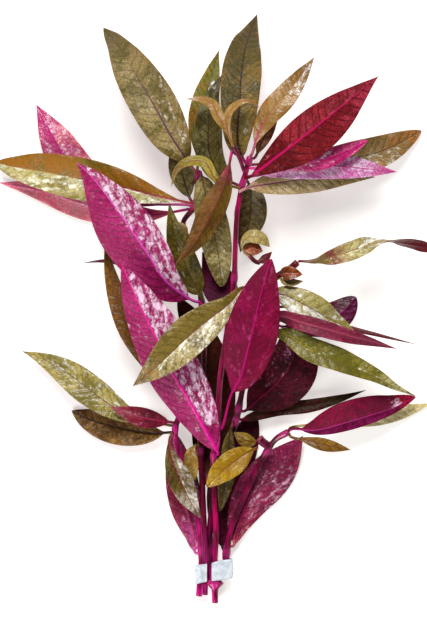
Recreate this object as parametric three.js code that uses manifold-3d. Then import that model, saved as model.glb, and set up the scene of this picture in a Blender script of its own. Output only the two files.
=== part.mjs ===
// A tied bunch of cut stems of a pond plant with narrow olive and magenta leaves, laid down flat.
// Millimetres. +Z is up, the table is z = 0, and +Y runs from the cut ends to the crown.

import * as THREE from "three";
import { mergeVertices } from "three/addons/utils/BufferGeometryUtils.js";
import Module from "manifold-3d";

// Stems
const STEM_RADIUS = 1.25;
const STEM_TIP_RADIUS = 1.0;
const STEM_SIDES = 6;
const STEM_STEP = 4.5; // length of one straight stretch of a stem
const NODE_SWELL = 0.4; // how much thicker a stem is at a node
const NODE_REACH = 2.4; // how far along the stem the swelling reaches

// Leaves
const BLADE_THICK = 0.4;
const PETIOLE_HALF_WIDTH = 0.6;
const PETIOLE_THICK = 1.1;
const PETIOLE_LENGTH = 0.07; // part of the leaf's length that is stalk
const BELLY = 0.44; // where the blade is widest, from 0 at its foot to 1 at its tip
const FOOT_TAPER = 1.25; // 1 is a round foot, more is a drawn-out one
const TIP_TAPER = 1.05;
const MARGIN_FLARE = 0.3; // how much the blade flattens towards its edges
const AXIL_GAP = 0.35; // air between a stem and the foot of a leaf
const FOOT_SAMPLES = 300; // points tried along a stem to find the one nearest a leaf's foot
const FINE_STATIONS = [0, 0.05, 0.12, 0.22, 0.34, 0.46, 0.58, 0.7, 0.82, 0.92];
const COARSE_STATIONS = [0, 0.1, 0.24, 0.4, 0.56, 0.72, 0.88];

// Lead strip
const STRIP_THICK = 0.55;
const STRIP_WIDTH = 7.6;
const STRIP_TOP_Y = -101.4; // its upper edge, where it crosses x = 0
const STRIP_SLANT = 0.17; // rise of the strip across the bundle

// Fork of the low right stem: a thick stub that bears the two yellow leaves
const FORK_STUB = [
  [21.4, -55.4, 10],
  [18.8, -53.6, 11],
  [17.2, -52, 11.6],
];
const FORK_STUB_RADIUS = 1.7;

// Colours
const OLIVE = 0x7d7a34;
const DARK_OLIVE = 0x4f4a1c;
const GREEN = 0x76822a;
const BRONZE = 0x8a5a22;
const TAN = 0xa88f50;
const YELLOW = 0xb09a2c;
const MAGENTA = 0xa3105f;
const CRIMSON = 0x86183a;
const PINK = 0xc0508c;
const PLUM = 0x4a0f2e;
const STEM_PINK = 0xb4107a;
const LEAD = 0xd6dee6;

const UP = new THREE.Vector3(0, 0, 1);

function finish(colour, roughness = 0.35, metalness = 0) {
  return new THREE.MeshStandardMaterial({ color: colour, roughness, metalness });
}

function curveThrough(points) {
  return new THREE.CatmullRomCurve3(points.map((p) => new THREE.Vector3(...p)));
}

// The stems, each from its cut end to its tip. Nodes are the heights, along y, where it swells.
const STEMS = {
  stem_crown: {
    nodes: [-109.5, -59, -47, -4, 12, 50, 59],
    route: [
      [-0.4, -118, 3.6],
      [-0.5, -108, 4.4],
      [-0.6, -100.6, 4.6],
      [0, -88.6, 5],
      [-0.8, -72, 6.6],
      [-0.8, -58, 8.8],
      [0.4, -49, 10.6],
      [1.6, -28.6, 14],
      [4.4, -8.6, 17.5],
      [7.2, 11.4, 20],
      [7.6, 22.2, 21],
      [8.4, 37.4, 22.5],
      [10, 47.4, 23.5],
      [11.6, 53.4, 24],
      [13.6, 60.6, 25],
    ],
  },
  stem_left: {
    nodes: [-57, 2, 30, 41.5, 54],
    route: [
      [-4.6, -114.8, 4.2],
      [-4.4, -106, 4.6],
      [-4.2, -100, 4.6],
      [-4.8, -88.6, 4.8],
      [-5.6, -70, 5.6],
      [-6.4, -48.6, 6.5],
      [-4.8, -20, 8.5],
      [-5.6, 1.4, 10],
      [-9.5, 20, 11],
      [-13.2, 34, 12.5],
      [-8.4, 41.4, 14],
      [-7.4, 53.8, 16],
    ],
  },
  stem_low_left: {
    nodes: [-97, -48, -43],
    route: [
      [-6.9, -115.4, 2.6],
      [-6, -104, 2.3],
      [-5.8, -99, 2.4],
      [-6.8, -88.6, 3.2],
      [-8.6, -80, 4.4],
      [-13.2, -64.6, 7],
      [-16.4, -47.8, 9.5],
      [-14.4, -43, 9.6],
    ],
  },
  stem_right: {
    nodes: [-45, -40, -8, 7, 16],
    route: [
      [-2.2, -110, 2.1],
      [-2.4, -100, 2.1],
      [-2.5, -88.6, 2.3],
      [-1.4, -79, 2.6],
      [1.6, -68.6, 3.8],
      [4.6, -57, 6],
      [8, -44.6, 9],
      [13.6, -16.6, 12.5],
      [18.4, 7.4, 16],
      [18.6, 16.2, 17.5],
    ],
  },
  stem_low_right: {
    nodes: [-98, -57, -49.5],
    route: [
      [4.2, -107.4, 2.4],
      [3.9, -100.6, 2.5],
      [5.6, -90.2, 3.6],
      [8.4, -81.8, 4.6],
      [12.9, -71.8, 6],
      [16.3, -64.6, 7.4],
      [20, -57.6, 9],
      [24, -52.2, 11.4],
      [28.8, -49.4, 13],
    ],
  },
};

for (const stem of Object.values(STEMS)) stem.axis = curveThrough(stem.route);

// How far the stem's skin is from its axis, at a share of its length and a height along y.
function stemRadius(stem, share, y) {
  const plain = STEM_RADIUS + (STEM_TIP_RADIUS - STEM_RADIUS) * share;
  const swell = Math.max(...stem.nodes.map((n) => Math.exp(-(((y - n) / NODE_REACH) ** 2))));
  return plain * (1 + NODE_SWELL * swell);
}

// A tube along a route: its outline has few sides, and swells where the stem has nodes.
function tubeGeometry(axis, radiusAt, sides = STEM_SIDES) {
  const outline = new THREE.Shape();
  for (let i = 0; i < sides; i++) {
    const turn = (i / sides) * 2 * Math.PI;
    const [x, y] = [Math.cos(turn), Math.sin(turn)];
    if (i === 0) outline.moveTo(x, y);
    else outline.lineTo(x, y);
  }
  outline.closePath();
  const steps = Math.max(3, Math.round(axis.getLength() / STEM_STEP));
  const tube = new THREE.ExtrudeGeometry(outline, { steps, extrudePath: axis, bevelEnabled: false });
  const centres = axis.getSpacedPoints(steps);
  const place = tube.getAttribute("position");
  const point = new THREE.Vector3();
  for (let i = 0; i < place.count; i++) {
    point.fromBufferAttribute(place, i);
    const gaps = centres.map((c) => c.distanceTo(point));
    const ring = gaps.indexOf(Math.min(...gaps));
    const reach = radiusAt(ring / steps, centres[ring].y);
    point.sub(centres[ring]).setLength(reach).add(centres[ring]);
    place.setXYZ(i, point.x, point.y, point.z);
  }
  return tube;
}

// The foot of a leaf, just off the skin of its stem, on the side where the point lies.
function footOf(stem, point) {
  const rough = new THREE.Vector3(...point);
  const samples = stem.axis.getSpacedPoints(FOOT_SAMPLES);
  const gaps = samples.map((s) => s.distanceTo(rough));
  const nearest = gaps.indexOf(Math.min(...gaps));
  const centre = samples[nearest];
  const reach = stemRadius(stem, nearest / FOOT_SAMPLES, centre.y) + PETIOLE_THICK / 2 + AXIL_GAP;
  return rough.sub(centre).setLength(reach).add(centre).toArray();
}

// Half the width of a leaf at a share of its length: a stalk, then a lance-shaped blade.
function halfWidth(share, leaf) {
  const { wide, belly = BELLY, stalk = PETIOLE_LENGTH, foot = FOOT_TAPER, tip = TIP_TAPER } = leaf;
  const narrow = PETIOLE_HALF_WIDTH * (1 - share);
  const along = Math.max(0, (share - stalk) / (1 - stalk));
  const bend = Math.log(0.5) / Math.log(belly);
  const swell = Math.max(0, Math.sin(Math.PI * Math.min(1, along ** bend)));
  const blade = (wide / 2) * swell ** (along < belly ? foot : tip);
  return Math.max(narrow, blade);
}

// A closed leaf: rings across the midrib from the foot, ending in a point at the tip.
// fold lifts both margins, in degrees, and roll turns the blade on its midrib from foot to tip.
function leafGeometry(leaf) {
  const { midrib, fold = 8, roll = [0, 0], lean = 0, fine = true } = leaf;
  const spine = curveThrough(midrib);
  const top = fine ? [-1, -0.5, 0, 0.5, 1] : [-1, 0, 1];
  const under = fine ? [0.5, 0, -0.5] : [0];
  const stations = fine ? FINE_STATIONS : COARSE_STATIONS;
  const count = top.length + under.length;
  const corners = [];
  for (const share of stations) {
    const centre = spine.getPointAt(share);
    const along = spine.getTangentAt(share);
    const level = new THREE.Vector3().crossVectors(along, UP).normalize();
    const rise = new THREE.Vector3().crossVectors(level, along);
    const turn = THREE.MathUtils.degToRad(roll[0] + (roll[1] - roll[0]) * share);
    const side = level.clone().multiplyScalar(Math.cos(turn)).addScaledVector(rise, Math.sin(turn));
    const face = rise.clone().multiplyScalar(Math.cos(turn)).addScaledVector(level, -Math.sin(turn));
    const half = halfWidth(share, leaf);
    const slope = Math.tan(THREE.MathUtils.degToRad(fold)) / (1 - MARGIN_FLARE / 2);
    const thick = BLADE_THICK + (PETIOLE_THICK - BLADE_THICK) * Math.exp(-share / PETIOLE_LENGTH);
    const add = (s, lift) => {
      const reach = half * (1 + lean * Math.sign(s));
      const height = reach * slope * (Math.abs(s) - MARGIN_FLARE * s * s) + lift;
      const corner = centre.clone().addScaledVector(side, s * reach).addScaledVector(face, height);
      corners.push(...corner.toArray());
    };
    for (const s of top) add(s, Math.abs(s) === 1 ? 0 : thick / 2);
    for (const s of under) add(s, -thick / 2);
  }
  const tip = spine.getPointAt(1);
  corners.push(tip.x, tip.y, tip.z);
  const faces = [];
  for (let j = 1; j < count - 1; j++) faces.push(0, j + 1, j);
  for (let ring = 0; ring < stations.length; ring++) {
    for (let j = 0; j < count; j++) {
      const [a, b] = [ring * count + j, ring * count + ((j + 1) % count)];
      if (ring === stations.length - 1) faces.push(a, b, stations.length * count);
      else faces.push(a, b, b + count, a, b + count, a + count);
    }
  }
  const blade = new THREE.BufferGeometry();
  blade.setAttribute("position", new THREE.Float32BufferAttribute(corners, 3));
  blade.setIndex(faces);
  return blade;
}

const wasm = await Module();
wasm.setup();

function solidOf(geometry) {
  const bare = geometry.clone();
  bare.deleteAttribute("normal");
  bare.deleteAttribute("uv");
  const merged = mergeVertices(bare, 1e-3);
  const vertProperties = merged.getAttribute("position").array;
  const triVerts = new Uint32Array(merged.index.array);
  return new wasm.Manifold(new wasm.Mesh({ numProp: 3, vertProperties, triVerts }));
}

// One solid of pieces that grew together.
function grownTogether(geometries) {
  const solid = geometries.map(solidOf).reduce((whole, next) => whole.add(next));
  const mesh = solid.getMesh();
  const joined = new THREE.BufferGeometry();
  joined.setAttribute("position", new THREE.BufferAttribute(mesh.vertProperties, 3));
  joined.setIndex(new THREE.BufferAttribute(mesh.triVerts, 1));
  return joined;
}

const bunch = new THREE.Group();

function addPiece(name, geometry, material) {
  const piece = new THREE.Mesh(geometry, material);
  piece.name = name;
  bunch.add(piece);
}

function addLeaf(name, stemName, colour, leaf) {
  const [foot, ...rest] = leaf.midrib;
  const midrib = stemName ? [footOf(STEMS[stemName], foot), ...rest] : leaf.midrib;
  addPiece(name, leafGeometry({ ...leaf, midrib }), finish(colour));
}

for (const [name, stem] of Object.entries(STEMS)) {
  const tube = tubeGeometry(stem.axis, (share, y) => stemRadius(stem, share, y));
  const stub = tubeGeometry(curveThrough(FORK_STUB), () => FORK_STUB_RADIUS);
  const stalk = name === "stem_low_right" ? grownTogether([tube, stub]) : tube;
  addPiece(name, stalk, finish(STEM_PINK, 0.3));
}

// Crown: the leaves round the tips of the crown stem and the left stem.
addLeaf("crown_leaf_big_left", "stem_left", OLIVE, {
  midrib: [
    [-9.6, 56.5, 19], [-17.6, 68.2, 24], [-25.2, 81.8, 25], [-32, 93, 20], [-38.8, 104.2, 10],
    [-45.2, 112.6, 0.7],
  ],
  wide: 18.6,
  fold: 7,
  belly: 0.38,
  foot: 0.8,
  tip: 0.8,
});
addLeaf("crown_leaf_tall", "stem_crown", GREEN, {
  midrib: [
    [12, 57.5, 27], [8.8, 65.4, 28], [9.2, 79.4, 29], [10, 91.4, 26], [11.6, 103.4, 17],
    [14.4, 112.2, 7], [16.4, 118.1, 0.7],
  ],
  wide: 16,
  fold: 6,
  belly: 0.46,
  stalk: 0.05,
  foot: 0.52,
});
addLeaf("crown_leaf_ochre", "stem_left", BRONZE, {
  midrib: [
    [-7.4, 55.2, 16], [-6.8, 71.4, 17], [-4.4, 83.4, 18], [-1.6, 93.4, 16.5], [1.2, 103.4, 12],
  ],
  wide: 10.4,
});
addLeaf("crown_leaf_dark", "stem_crown", DARK_OLIVE, {
  midrib: [
    [8, 49.5, 23], [1.6, 53.6, 22.5], [-2.6, 62, 23], [-3, 73.4, 24], [-1.6, 84, 23],
    [2.4, 93.4, 20],
  ],
  wide: 11.4,
  fold: 5,
  stalk: 0.04,
  foot: 0.5,
});
addLeaf("crown_leaf_slim", "stem_crown", TAN, {
  midrib: [
    [14.6, 62, 27.4], [17, 70, 31], [21.2, 77.4, 33], [27.4, 84.2, 33], [34.2, 93, 29],
    [39.2, 100.2, 23],
  ],
  wide: 9.8,
  roll: [0, 10],
});
addLeaf("crown_leaf_crimson", "stem_crown", CRIMSON, {
  midrib: [
    [12.8, 52, 26], [25.6, 61.4, 33], [37.6, 70.6, 36.5], [49.6, 80.2, 36], [58, 87.2, 33],
    [64.8, 92.6, 29.5],
  ],
  wide: 18.2,
  fold: -7,
  lean: 0.14,
  tip: 1.15,
  belly: 0.48,
  foot: 1.1,
  stalk: 0.02,
});
addLeaf("crown_leaf_pink", "stem_crown", PINK, {
  midrib: [
    [13.4, 52.6, 22.6], [27.6, 55, 25.5], [43.6, 56.8, 25], [53.6, 56.4, 23], [63.6, 55.4, 20],
    [72.4, 54.6, 16],
  ],
  wide: 10.4,
  fold: -8,
  belly: 0.5,
  foot: 0.8,
});
addLeaf("crown_leaf_tucked_pink", "stem_crown", MAGENTA, {
  midrib: [[14, 56, 25], [28, 58, 29], [42.4, 59.4, 30.5], [52, 63, 28.5], [60.4, 67, 26]],
  wide: 8.4,
  fold: -6,
  tip: 0.6,
  fine: false,
});
addLeaf("crown_leaf_right", "stem_crown", OLIVE, {
  midrib: [
    [13.6, 57.5, 23.4], [20, 57.8, 18.5], [30, 58, 15.5], [60.8, 61.4, 10.5],
    [71.6, 65.4, 6.5], [82.4, 71.4, 0.7],
  ],
  wide: 13.4,
  belly: 0.6,
  tip: 0.75,
});
addLeaf("crown_leaf_level", "stem_crown", OLIVE, {
  midrib: [
    [9.2, 46.6, 26], [13, 48.2, 25.4], [19.6, 49.4, 22.8], [33.6, 51.4, 19], [50, 52.6, 15.6],
    [64, 52.6, 12],
  ],
  wide: 11.4,
  fold: 10,
  foot: 0.7,
});
addLeaf("crown_leaf_folded", "", DARK_OLIVE, {
  midrib: [
    [6.4, 62.6, 30.5], [3.2, 48.6, 31.5], [-2.8, 35.8, 31], [-8.4, 26.2, 27.5],
    [-16.4, 17, 22],
  ],
  wide: 10.4,
  fold: -24,
  roll: [12, 4],
});
addLeaf("crown_leaf_curled", "stem_crown", YELLOW, {
  midrib: [
    [8.4, 48.2, 25.2], [0.4, 51, 28], [-4.4, 58, 28.5], [-10.8, 58.6, 26.5],
    [-15.6, 55.4, 24.5], [-18, 48.2, 22],
  ],
  wide: 4.4,
  fine: false,
});
addLeaf("crown_leaf_behind", "stem_left", DARK_OLIVE, {
  midrib: [[-10, 43, 12.6], [-12.8, 51.4, 12], [-14.6, 60, 13], [-14.4, 69.4, 14]],
  wide: 10,
  foot: 0.8,
  tip: 0.8,
  fine: false,
});
addLeaf("crown_leaf_hanging", "stem_left", GREEN, {
  midrib: [
    [-6.4, 55, 18], [-5.4, 51.6, 20.4], [-3.6, 43.4, 22], [-0.4, 29, 21.5], [1.4, 18, 19.5],
    [2.4, 8.6, 17],
  ],
  wide: 12.8,
  fold: 7,
  belly: 0.46,
  foot: 0.5,
  tip: 0.55,
});
addLeaf("crown_leaf_shadow", "stem_crown", DARK_OLIVE, {
  midrib: [
    [12.4, 51, 22], [14, 46.4, 17.5], [13.8, 38, 14.5], [12, 30, 12.5], [9.6, 22.4, 11.5],
  ],
  wide: 13,
  foot: 0.75,
  fine: false,
});
addLeaf("crown_leaf_small", "stem_crown", DARK_OLIVE, {
  midrib: [[14.8, 60, 24], [19, 68, 25.5], [25.2, 77.8, 26]],
  wide: 5.6,
  fine: false,
});
addPiece(
  "crown_young_pair",
  grownTogether([
    tubeGeometry(curveThrough([[11.2, 54.6, 26.6], [9.4, 59.6, 29.6], [6.8, 64.6, 31.4]]), () => 0.8),
    leafGeometry({
      midrib: [
        [6.9, 64.2, 31.3], [4.6, 71, 34], [1, 76.6, 36], [-1.6, 81.2, 36], [-6.4, 83.2, 34],
        [-12.4, 83.4, 32],
      ],
      wide: 4.6,
      fold: 14,
      fine: false,
    }),
    leafGeometry({
      midrib: [
        [6.8, 64.2, 31.3], [4.6, 71.5, 34.5], [5.2, 78, 37], [10, 82, 38.4], [14, 82.2, 38],
        [17.6, 79.6, 36.5],
      ],
      wide: 3.2,
      fold: 10,
      fine: false,
    }),
  ]),
  finish(TAN),
);

// Left and centre: the long magenta leaves and the ones they lie on.
addLeaf("left_leaf_bronze", "stem_left", BRONZE, {
  midrib: [
    [-10, 42, 15], [-22.4, 44.6, 16.5], [-38, 48.6, 17], [-56.4, 52.2, 14], [-70, 55, 10],
    [-82.4, 57, 6], [-88, 58.6, 4],
  ],
  wide: 17,
  fold: 14,
  belly: 0.54,
  foot: 0.9,
  tip: 0.62,
  stalk: 0.04,
});
addLeaf("left_leaf_pink", "stem_left", PINK, {
  midrib: [
    [-10.2, 41, 12.8], [-28, 42, 10], [-46.4, 47.4, 8.5], [-57, 56, 8], [-65.6, 70, 6.5],
    [-72, 81.8, 3],
  ],
  wide: 16,
  fold: -6,
  belly: 0.62,
});
addLeaf("left_leaf_coral", "stem_left", PINK, {
  midrib: [
    [-9.6, 39.8, 12], [-28.4, 37.4, 7], [-50.4, 41.4, 3], [-70.4, 47.4, 1.8],
    [-87.2, 50.6, 0.8],
  ],
  wide: 13,
  fold: -4,
  belly: 0.5,
});
addLeaf("centre_leaf_magenta", "stem_left", MAGENTA, {
  midrib: [
    [-7.4, 2.8, 11.2], [-13, 5.4, 14.6], [-20.8, 11.8, 19.5], [-26.4, 20.6, 22],
    [-34.4, 32.2, 24], [-42.4, 43.4, 24], [-50.4, 53.4, 22], [-55.6, 58.2, 20.5],
  ],
  wide: 22.8,
  fold: -14,
  lean: -0.17,
  belly: 0.5,
  foot: 0.62,
  stalk: 0.05,
});
addLeaf("centre_leaf_long", "stem_crown", MAGENTA, {
  midrib: [
    [1, -58.4, 10.6], [-4, -49, 15.5], [-10.8, -36.6, 20], [-17.6, -25, 23.5],
    [-25, -9.4, 27.5], [-30.8, 2.2, 29], [-35.2, 12.2, 29.5], [-37.6, 17.8, 29],
  ],
  wide: 21.6,
  fold: -13,
  lean: 0.08,
  belly: 0.5,
  foot: 0.62,
  tip: 0.8,
  stalk: 0.02,
});
addLeaf("left_leaf_shaded", "stem_low_left", BRONZE, {
  midrib: [
    [-15.4, -41.6, 11], [-18.6, -34, 12.6], [-26, -22, 13.5], [-35.2, -6.6, 13.5],
    [-41.6, 11.4, 12], [-44.8, 28.2, 10],
  ],
  wide: 9.6,
});
addLeaf("left_leaf_thread", "stem_left", PLUM, {
  midrib: [[-10.6, 18, 9.4], [-26, 16, 6.5], [-43.6, 19, 5], [-54.4, 18.2, 4]],
  wide: 2.6,
  fine: false,
});
addLeaf("centre_leaf_striped", "stem_right", OLIVE, {
  midrib: [
    [17.2, 8.4, 18.4], [10.4, 8, 25], [5.6, 2.2, 28.5], [-2, -3.8, 31], [-10.4, -10.6, 32],
    [-20, -19.8, 32], [-27, -26, 30], [-33.2, -31, 27],
  ],
  wide: 16,
  fold: 12,
  belly: 0.54,
});
addLeaf("centre_leaf_top", "stem_crown", CRIMSON, {
  midrib: [
    [1.6, -48, 12], [6, -34.6, 22], [9.6, -27.8, 28], [12.8, -15.8, 34.5], [14.8, -7.4, 37.5],
    [16.8, 1.4, 39], [18.8, 9.4, 38.5], [22, 19.8, 35.5],
  ],
  wide: 20.8,
  fold: -8,
  belly: 0.46,
  stalk: 0.24,
  foot: 0.75,
  tip: 0.75,
});
addLeaf("centre_leaf_green", "stem_left", GREEN, {
  midrib: [
    [-5.4, 3.4, 11.6], [-9.6, 11.6, 13.6], [-13.8, 21.4, 15.2], [-17.2, 33.4, 18],
    [-18.8, 42.6, 20.5],
  ],
  wide: 11.2,
  belly: 0.34,
  foot: 0.7,
});
addLeaf("centre_leaf_tan", "stem_left", TAN, {
  midrib: [[-11, 29.4, 14], [-13, 31.6, 15.2], [-17.4, 34.6, 14.6]],
  wide: 4,
  fine: false,
});
addLeaf("centre_leaf_purple", "stem_crown", PLUM, {
  midrib: [[3.6, -4.6, 16.4], [2.8, 4, 13.2], [-0.6, 14, 12], [-5.6, 22.8, 11.5]],
  wide: 14,
  foot: 0.7,
  fine: false,
});
addLeaf("centre_leaf_hidden", "stem_left", DARK_OLIVE, {
  midrib: [
    [-3.8, -70, 3.4], [-3, -62, 2.8], [-1.6, -46, 2.8], [-1.6, -28, 2.8], [-6.4, -12, 3.2],
    [-15, 4, 4],
  ],
  wide: 18,
  fold: -4,
  stalk: 0.02,
  foot: 0.6,
  tip: 0.6,
});

// Right: the leaves and side shoots of the right stem.
addPiece(
  "right_young_shoot",
  grownTogether([
    tubeGeometry(curveThrough([[17.4, 18.2, 19.4], [15.6, 18.8, 20.4], [13.4, 21, 22.2]]), () => 0.9),
    leafGeometry({
      midrib: [
        [13.6, 20.8, 22], [10.4, 24, 24.4], [11.2, 27, 26.6], [14.2, 28.8, 28], [17.8, 28, 28],
        [21.4, 24.6, 26.6],
      ],
      wide: 5.6,
      fold: -14,
      belly: 0.62,
      foot: 1.6,
      tip: 0.8,
      fine: false,
    }),
    leafGeometry({
      midrib: [[13.8, 20.6, 21.8], [11.6, 22.4, 23], [14.4, 23.8, 24.2], [18.8, 22.8, 24.2]],
      wide: 5.6,
      fold: -14,
      belly: 0.6,
      fine: false,
    }),
    leafGeometry({
      midrib: [[15.8, 18.6, 20.2], [18.8, 19.4, 21.6], [22.4, 22.6, 23.4]],
      wide: 3.4,
      fine: false,
    }),
  ]),
  finish(BRONZE),
);
addPiece(
  "right_side_shoot",
  grownTogether([
    tubeGeometry(
      curveThrough([[20.8, 10.6, 18.6], [25, 13.2, 20], [29.6, 16, 21.6], [32.4, 18.4, 22.6]]),
      () => 1.4,
    ),
    leafGeometry({
      midrib: [[25.4, 13.2, 20.4], [28, 14, 24], [31.4, 14, 25], [34.6, 13.6, 24.2]],
      wide: 5.8,
      fold: 24,
      fine: false,
    }),
    leafGeometry({
      midrib: [[24.8, 12.6, 20], [27.4, 10.8, 22], [31, 10.4, 22.6], [35, 11, 21]],
      wide: 3.4,
      fold: 20,
      fine: false,
    }),
  ]),
  finish(BRONZE),
);
addLeaf("right_leaf_twisted", "", GREEN, {
  midrib: [
    [32.9, 18.85, 22.8], [40, 19.2, 24.6], [51.6, 22.2, 26], [66.8, 26.6, 24.5], [78, 25.5, 21],
    [88, 23.4, 16.5],
  ],
  wide: 7.8,
  fold: 10,
  roll: [-96, 186],
  foot: 0.5,
  tip: 0.42,
  stalk: 0.01,
});
addLeaf("right_leaf_wet", "stem_right", GREEN, {
  midrib: [[20.2, 5, 17.4], [26, 5.6, 20.8], [36.8, 0.6, 22.5], [46, -4.6, 20.5], [56.4, -10, 15]],
  wide: 12.2,
  foot: 0.75,
  fold: 7,
  roll: [10, 18],
});
addLeaf("right_leaf_crimson", "stem_right", CRIMSON, {
  midrib: [
    [17.6, -6, 17], [25.6, -3.2, 23.5], [33.6, -5.4, 28], [43, -8, 29.4], [54, -11.2, 27.5],
    [64, -13.8, 23], [72.4, -16.2, 18],
  ],
  wide: 7,
  fold: -38,
  foot: 0.7,
  stalk: 0.04,
  roll: [0, 8],
});
addLeaf("right_leaf_thin", "stem_right", PLUM, {
  midrib: [
    [18.6, 0, 15.4], [30, 0.6, 16.5], [49.6, -6.8, 15.4], [65.6, -10.8, 13], [81.2, -14.6, 6],
  ],
  wide: 2.2,
  fold: -30,
  fine: false,
});
addLeaf("right_leaf_purple", "stem_right", PLUM, {
  midrib: [[17.4, -4, 13], [30, -8, 12.5], [42, -6, 12.5], [49.6, -2, 12.8], [56, 4.6, 12]],
  wide: 12.6,
  fold: -6,
  tip: 0.6,
  belly: 0.66,
});
addLeaf("right_leaf_green", "stem_right", GREEN, {
  midrib: [
    [16.8, -9.6, 15], [27.6, -11, 19.5], [36.8, -17, 21.8], [49.6, -21.8, 21.5],
    [62.8, -27, 17.5], [71.6, -31.6, 13.5], [80.8, -35.4, 9.5],
  ],
  wide: 10,
  lean: -0.22,
  fold: 10,
  roll: [4, 8],
  belly: 0.35,
  tip: 1.2,
});
addLeaf("right_leaf_plum", "stem_right", PLUM, {
  midrib: [
    [10.6, -41, 9.6], [17.4, -36, 9], [24.2, -30.2, 8.8], [29.6, -23, 8.8], [31.2, -15, 9],
    [28.6, -6, 8.8],
  ],
  wide: 23.4,
  fold: -5,
  belly: 0.5,
  foot: 0.8,
  tip: 0.75,
  stalk: 0.03,
});
addLeaf("right_leaf_band", "stem_right", DARK_OLIVE, {
  midrib: [[9.6, -44.4, 8], [25, -40.4, 5.4], [37.6, -39, 4], [50, -36, 3.6], [60.5, -32.6, 3]],
  wide: 5.6,
  foot: 0.4,
  stalk: 0.02,
  fine: false,
});
addLeaf("right_leaf_magenta", "stem_low_right", MAGENTA, {
  midrib: [
    [30.2, -48.6, 14], [40, -48.6, 14.5], [52.8, -45.4, 13.5], [62.8, -42.4, 12],
    [70.8, -39.8, 10], [80, -35.4, 7],
  ],
  wide: 11.8,
  fold: -16,
  lean: -0.42,
  foot: 0.8,
  tip: 0.65,
});
addLeaf("right_leaf_pale", "stem_low_right", YELLOW, {
  midrib: [[29.6, -48, 11.6], [42, -46, 7], [60, -44, 3.6], [73.6, -41.6, 2], [86.8, -38, 0.7]],
  wide: 7.4,
  fold: 6,
  belly: 0.6,
  fine: false,
});
addLeaf("right_leaf_small_bronze", "stem_low_right", BRONZE, {
  midrib: [[29.8, -51, 13.4], [35, -52.4, 15], [43, -54.4, 15], [54, -56.6, 12]],
  wide: 5.2,
  belly: 0.5,
  fine: false,
});

// Low: the leaves near the lead strip and those that point to the left.
addLeaf("low_leaf_yellow", "", YELLOW, {
  midrib: [
    [16.6, -55.6, 12.2], [12.8, -57.4, 14.5], [7.6, -61, 15.5], [1.6, -65.8, 15.5],
    [-3.6, -71.4, 13.5],
  ],
  wide: 10.4,
  foot: 1,
  tip: 0.65,
});
addLeaf("low_leaf_little_yellow", "", YELLOW, {
  midrib: [[15.9, -53.4, 11], [12.6, -53, 11.8], [7, -49.4, 12.6]],
  wide: 5.6,
  stalk: 0,
  foot: 0.6,
  fine: false,
});
addLeaf("low_leaf_plum", "stem_low_right", MAGENTA, {
  midrib: [
    [7.4, -95.4, 2.4], [9.2, -86, 2.2], [14.2, -76, 2.2], [20.6, -68.4, 2.2],
    [27.6, -60.6, 2.8], [35, -51, 3.6],
  ],
  wide: 18,
  fold: -4,
  lean: 0,
  belly: 0.56,
  foot: 0.6,
  stalk: 0.02,
});
addLeaf("low_leaf_dark", "stem_low_right", PLUM, {
  midrib: [
    [3, -96.4, 1.2], [2.8, -86, 0.8], [4, -75, 0.8], [7.4, -62, 0.9], [12, -51, 1.2],
    [15.6, -41.6, 1.6],
  ],
  wide: 16.4,
  fold: -3,
  belly: 0.5,
  foot: 0.6,
  tip: 0.6,
  stalk: 0.02,
  fine: false,
});
addLeaf("low_leaf_crimson", "stem_low_left", CRIMSON, {
  midrib: [
    [-7.8, -98, 1.8], [-9, -90, 1.3], [-11.8, -80, 1.5], [-13.8, -68.6, 1.6],
    [-15.4, -58.6, 2.2], [-16.8, -49.4, 3],
  ],
  wide: 13.4,
  fold: -4,
  belly: 0.5,
  foot: 0.6,
  tip: 0.75,
  stalk: 0.02,
});
addLeaf("low_leaf_silver", "stem_low_left", OLIVE, {
  midrib: [
    [-17.6, -50, 10.8], [-18.8, -54, 11.8], [-17.6, -60.4, 12], [-14.6, -67.6, 11],
    [-11.2, -75.4, 9.6], [-6, -84.2, 8],
  ],
  wide: 9.8,
  belly: 0.5,
});
addLeaf("low_leaf_tan", "stem_left", TAN, {
  midrib: [[-7.8, -54.6, 7.6], [-10, -58.4, 9], [-9.6, -63.4, 9.4], [-8.8, -68.8, 8.8]],
  wide: 5.6,
  foot: 0.7,
  tip: 0.6,
  fine: false,
});
addLeaf("low_leaf_olive", "stem_right", DARK_OLIVE, {
  midrib: [
    [6.8, -46, 10.6], [5.2, -53, 11.4], [4.8, -62.6, 11.4], [3.2, -73, 10], [1.6, -81.4, 8.5],
  ],
  wide: 6.8,
  belly: 0.5,
  foot: 0.6,
  tip: 0.8,
  fine: false,
});
addLeaf("left_leaf_pale", "stem_low_left", YELLOW, {
  midrib: [
    [-18.2, -46.8, 10], [-28, -44.8, 10], [-37.6, -41.4, 10.5], [-50.4, -32.8, 10.5],
    [-60, -25.6, 8.5], [-70, -20, 5.5], [-78, -17, 2.5],
  ],
  wide: 12.8,
  fold: 9,
  belly: 0.5,
  tip: 1.15,
});
addLeaf("left_leaf_brown", "stem_low_left", DARK_OLIVE, {
  midrib: [
    [-18, -49.6, 7.8], [-27, -50, 5], [-39.6, -47.6, 2.6], [-50.4, -44.6, 1.6],
    [-58, -41, 0.8],
  ],
  wide: 14,
  fold: 4,
  belly: 0.5,
  foot: 0.8,
  tip: 0.8,
});
addLeaf("left_leaf_violet", "stem_low_left", MAGENTA, {
  midrib: [[-17.4, -45.6, 11.4], [-28.4, -43.8, 14.4], [-36, -41.6, 14.8], [-42.4, -39.4, 14]],
  wide: 8,
  fold: -6,
  foot: 0.8,
  fine: false,
});

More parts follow.
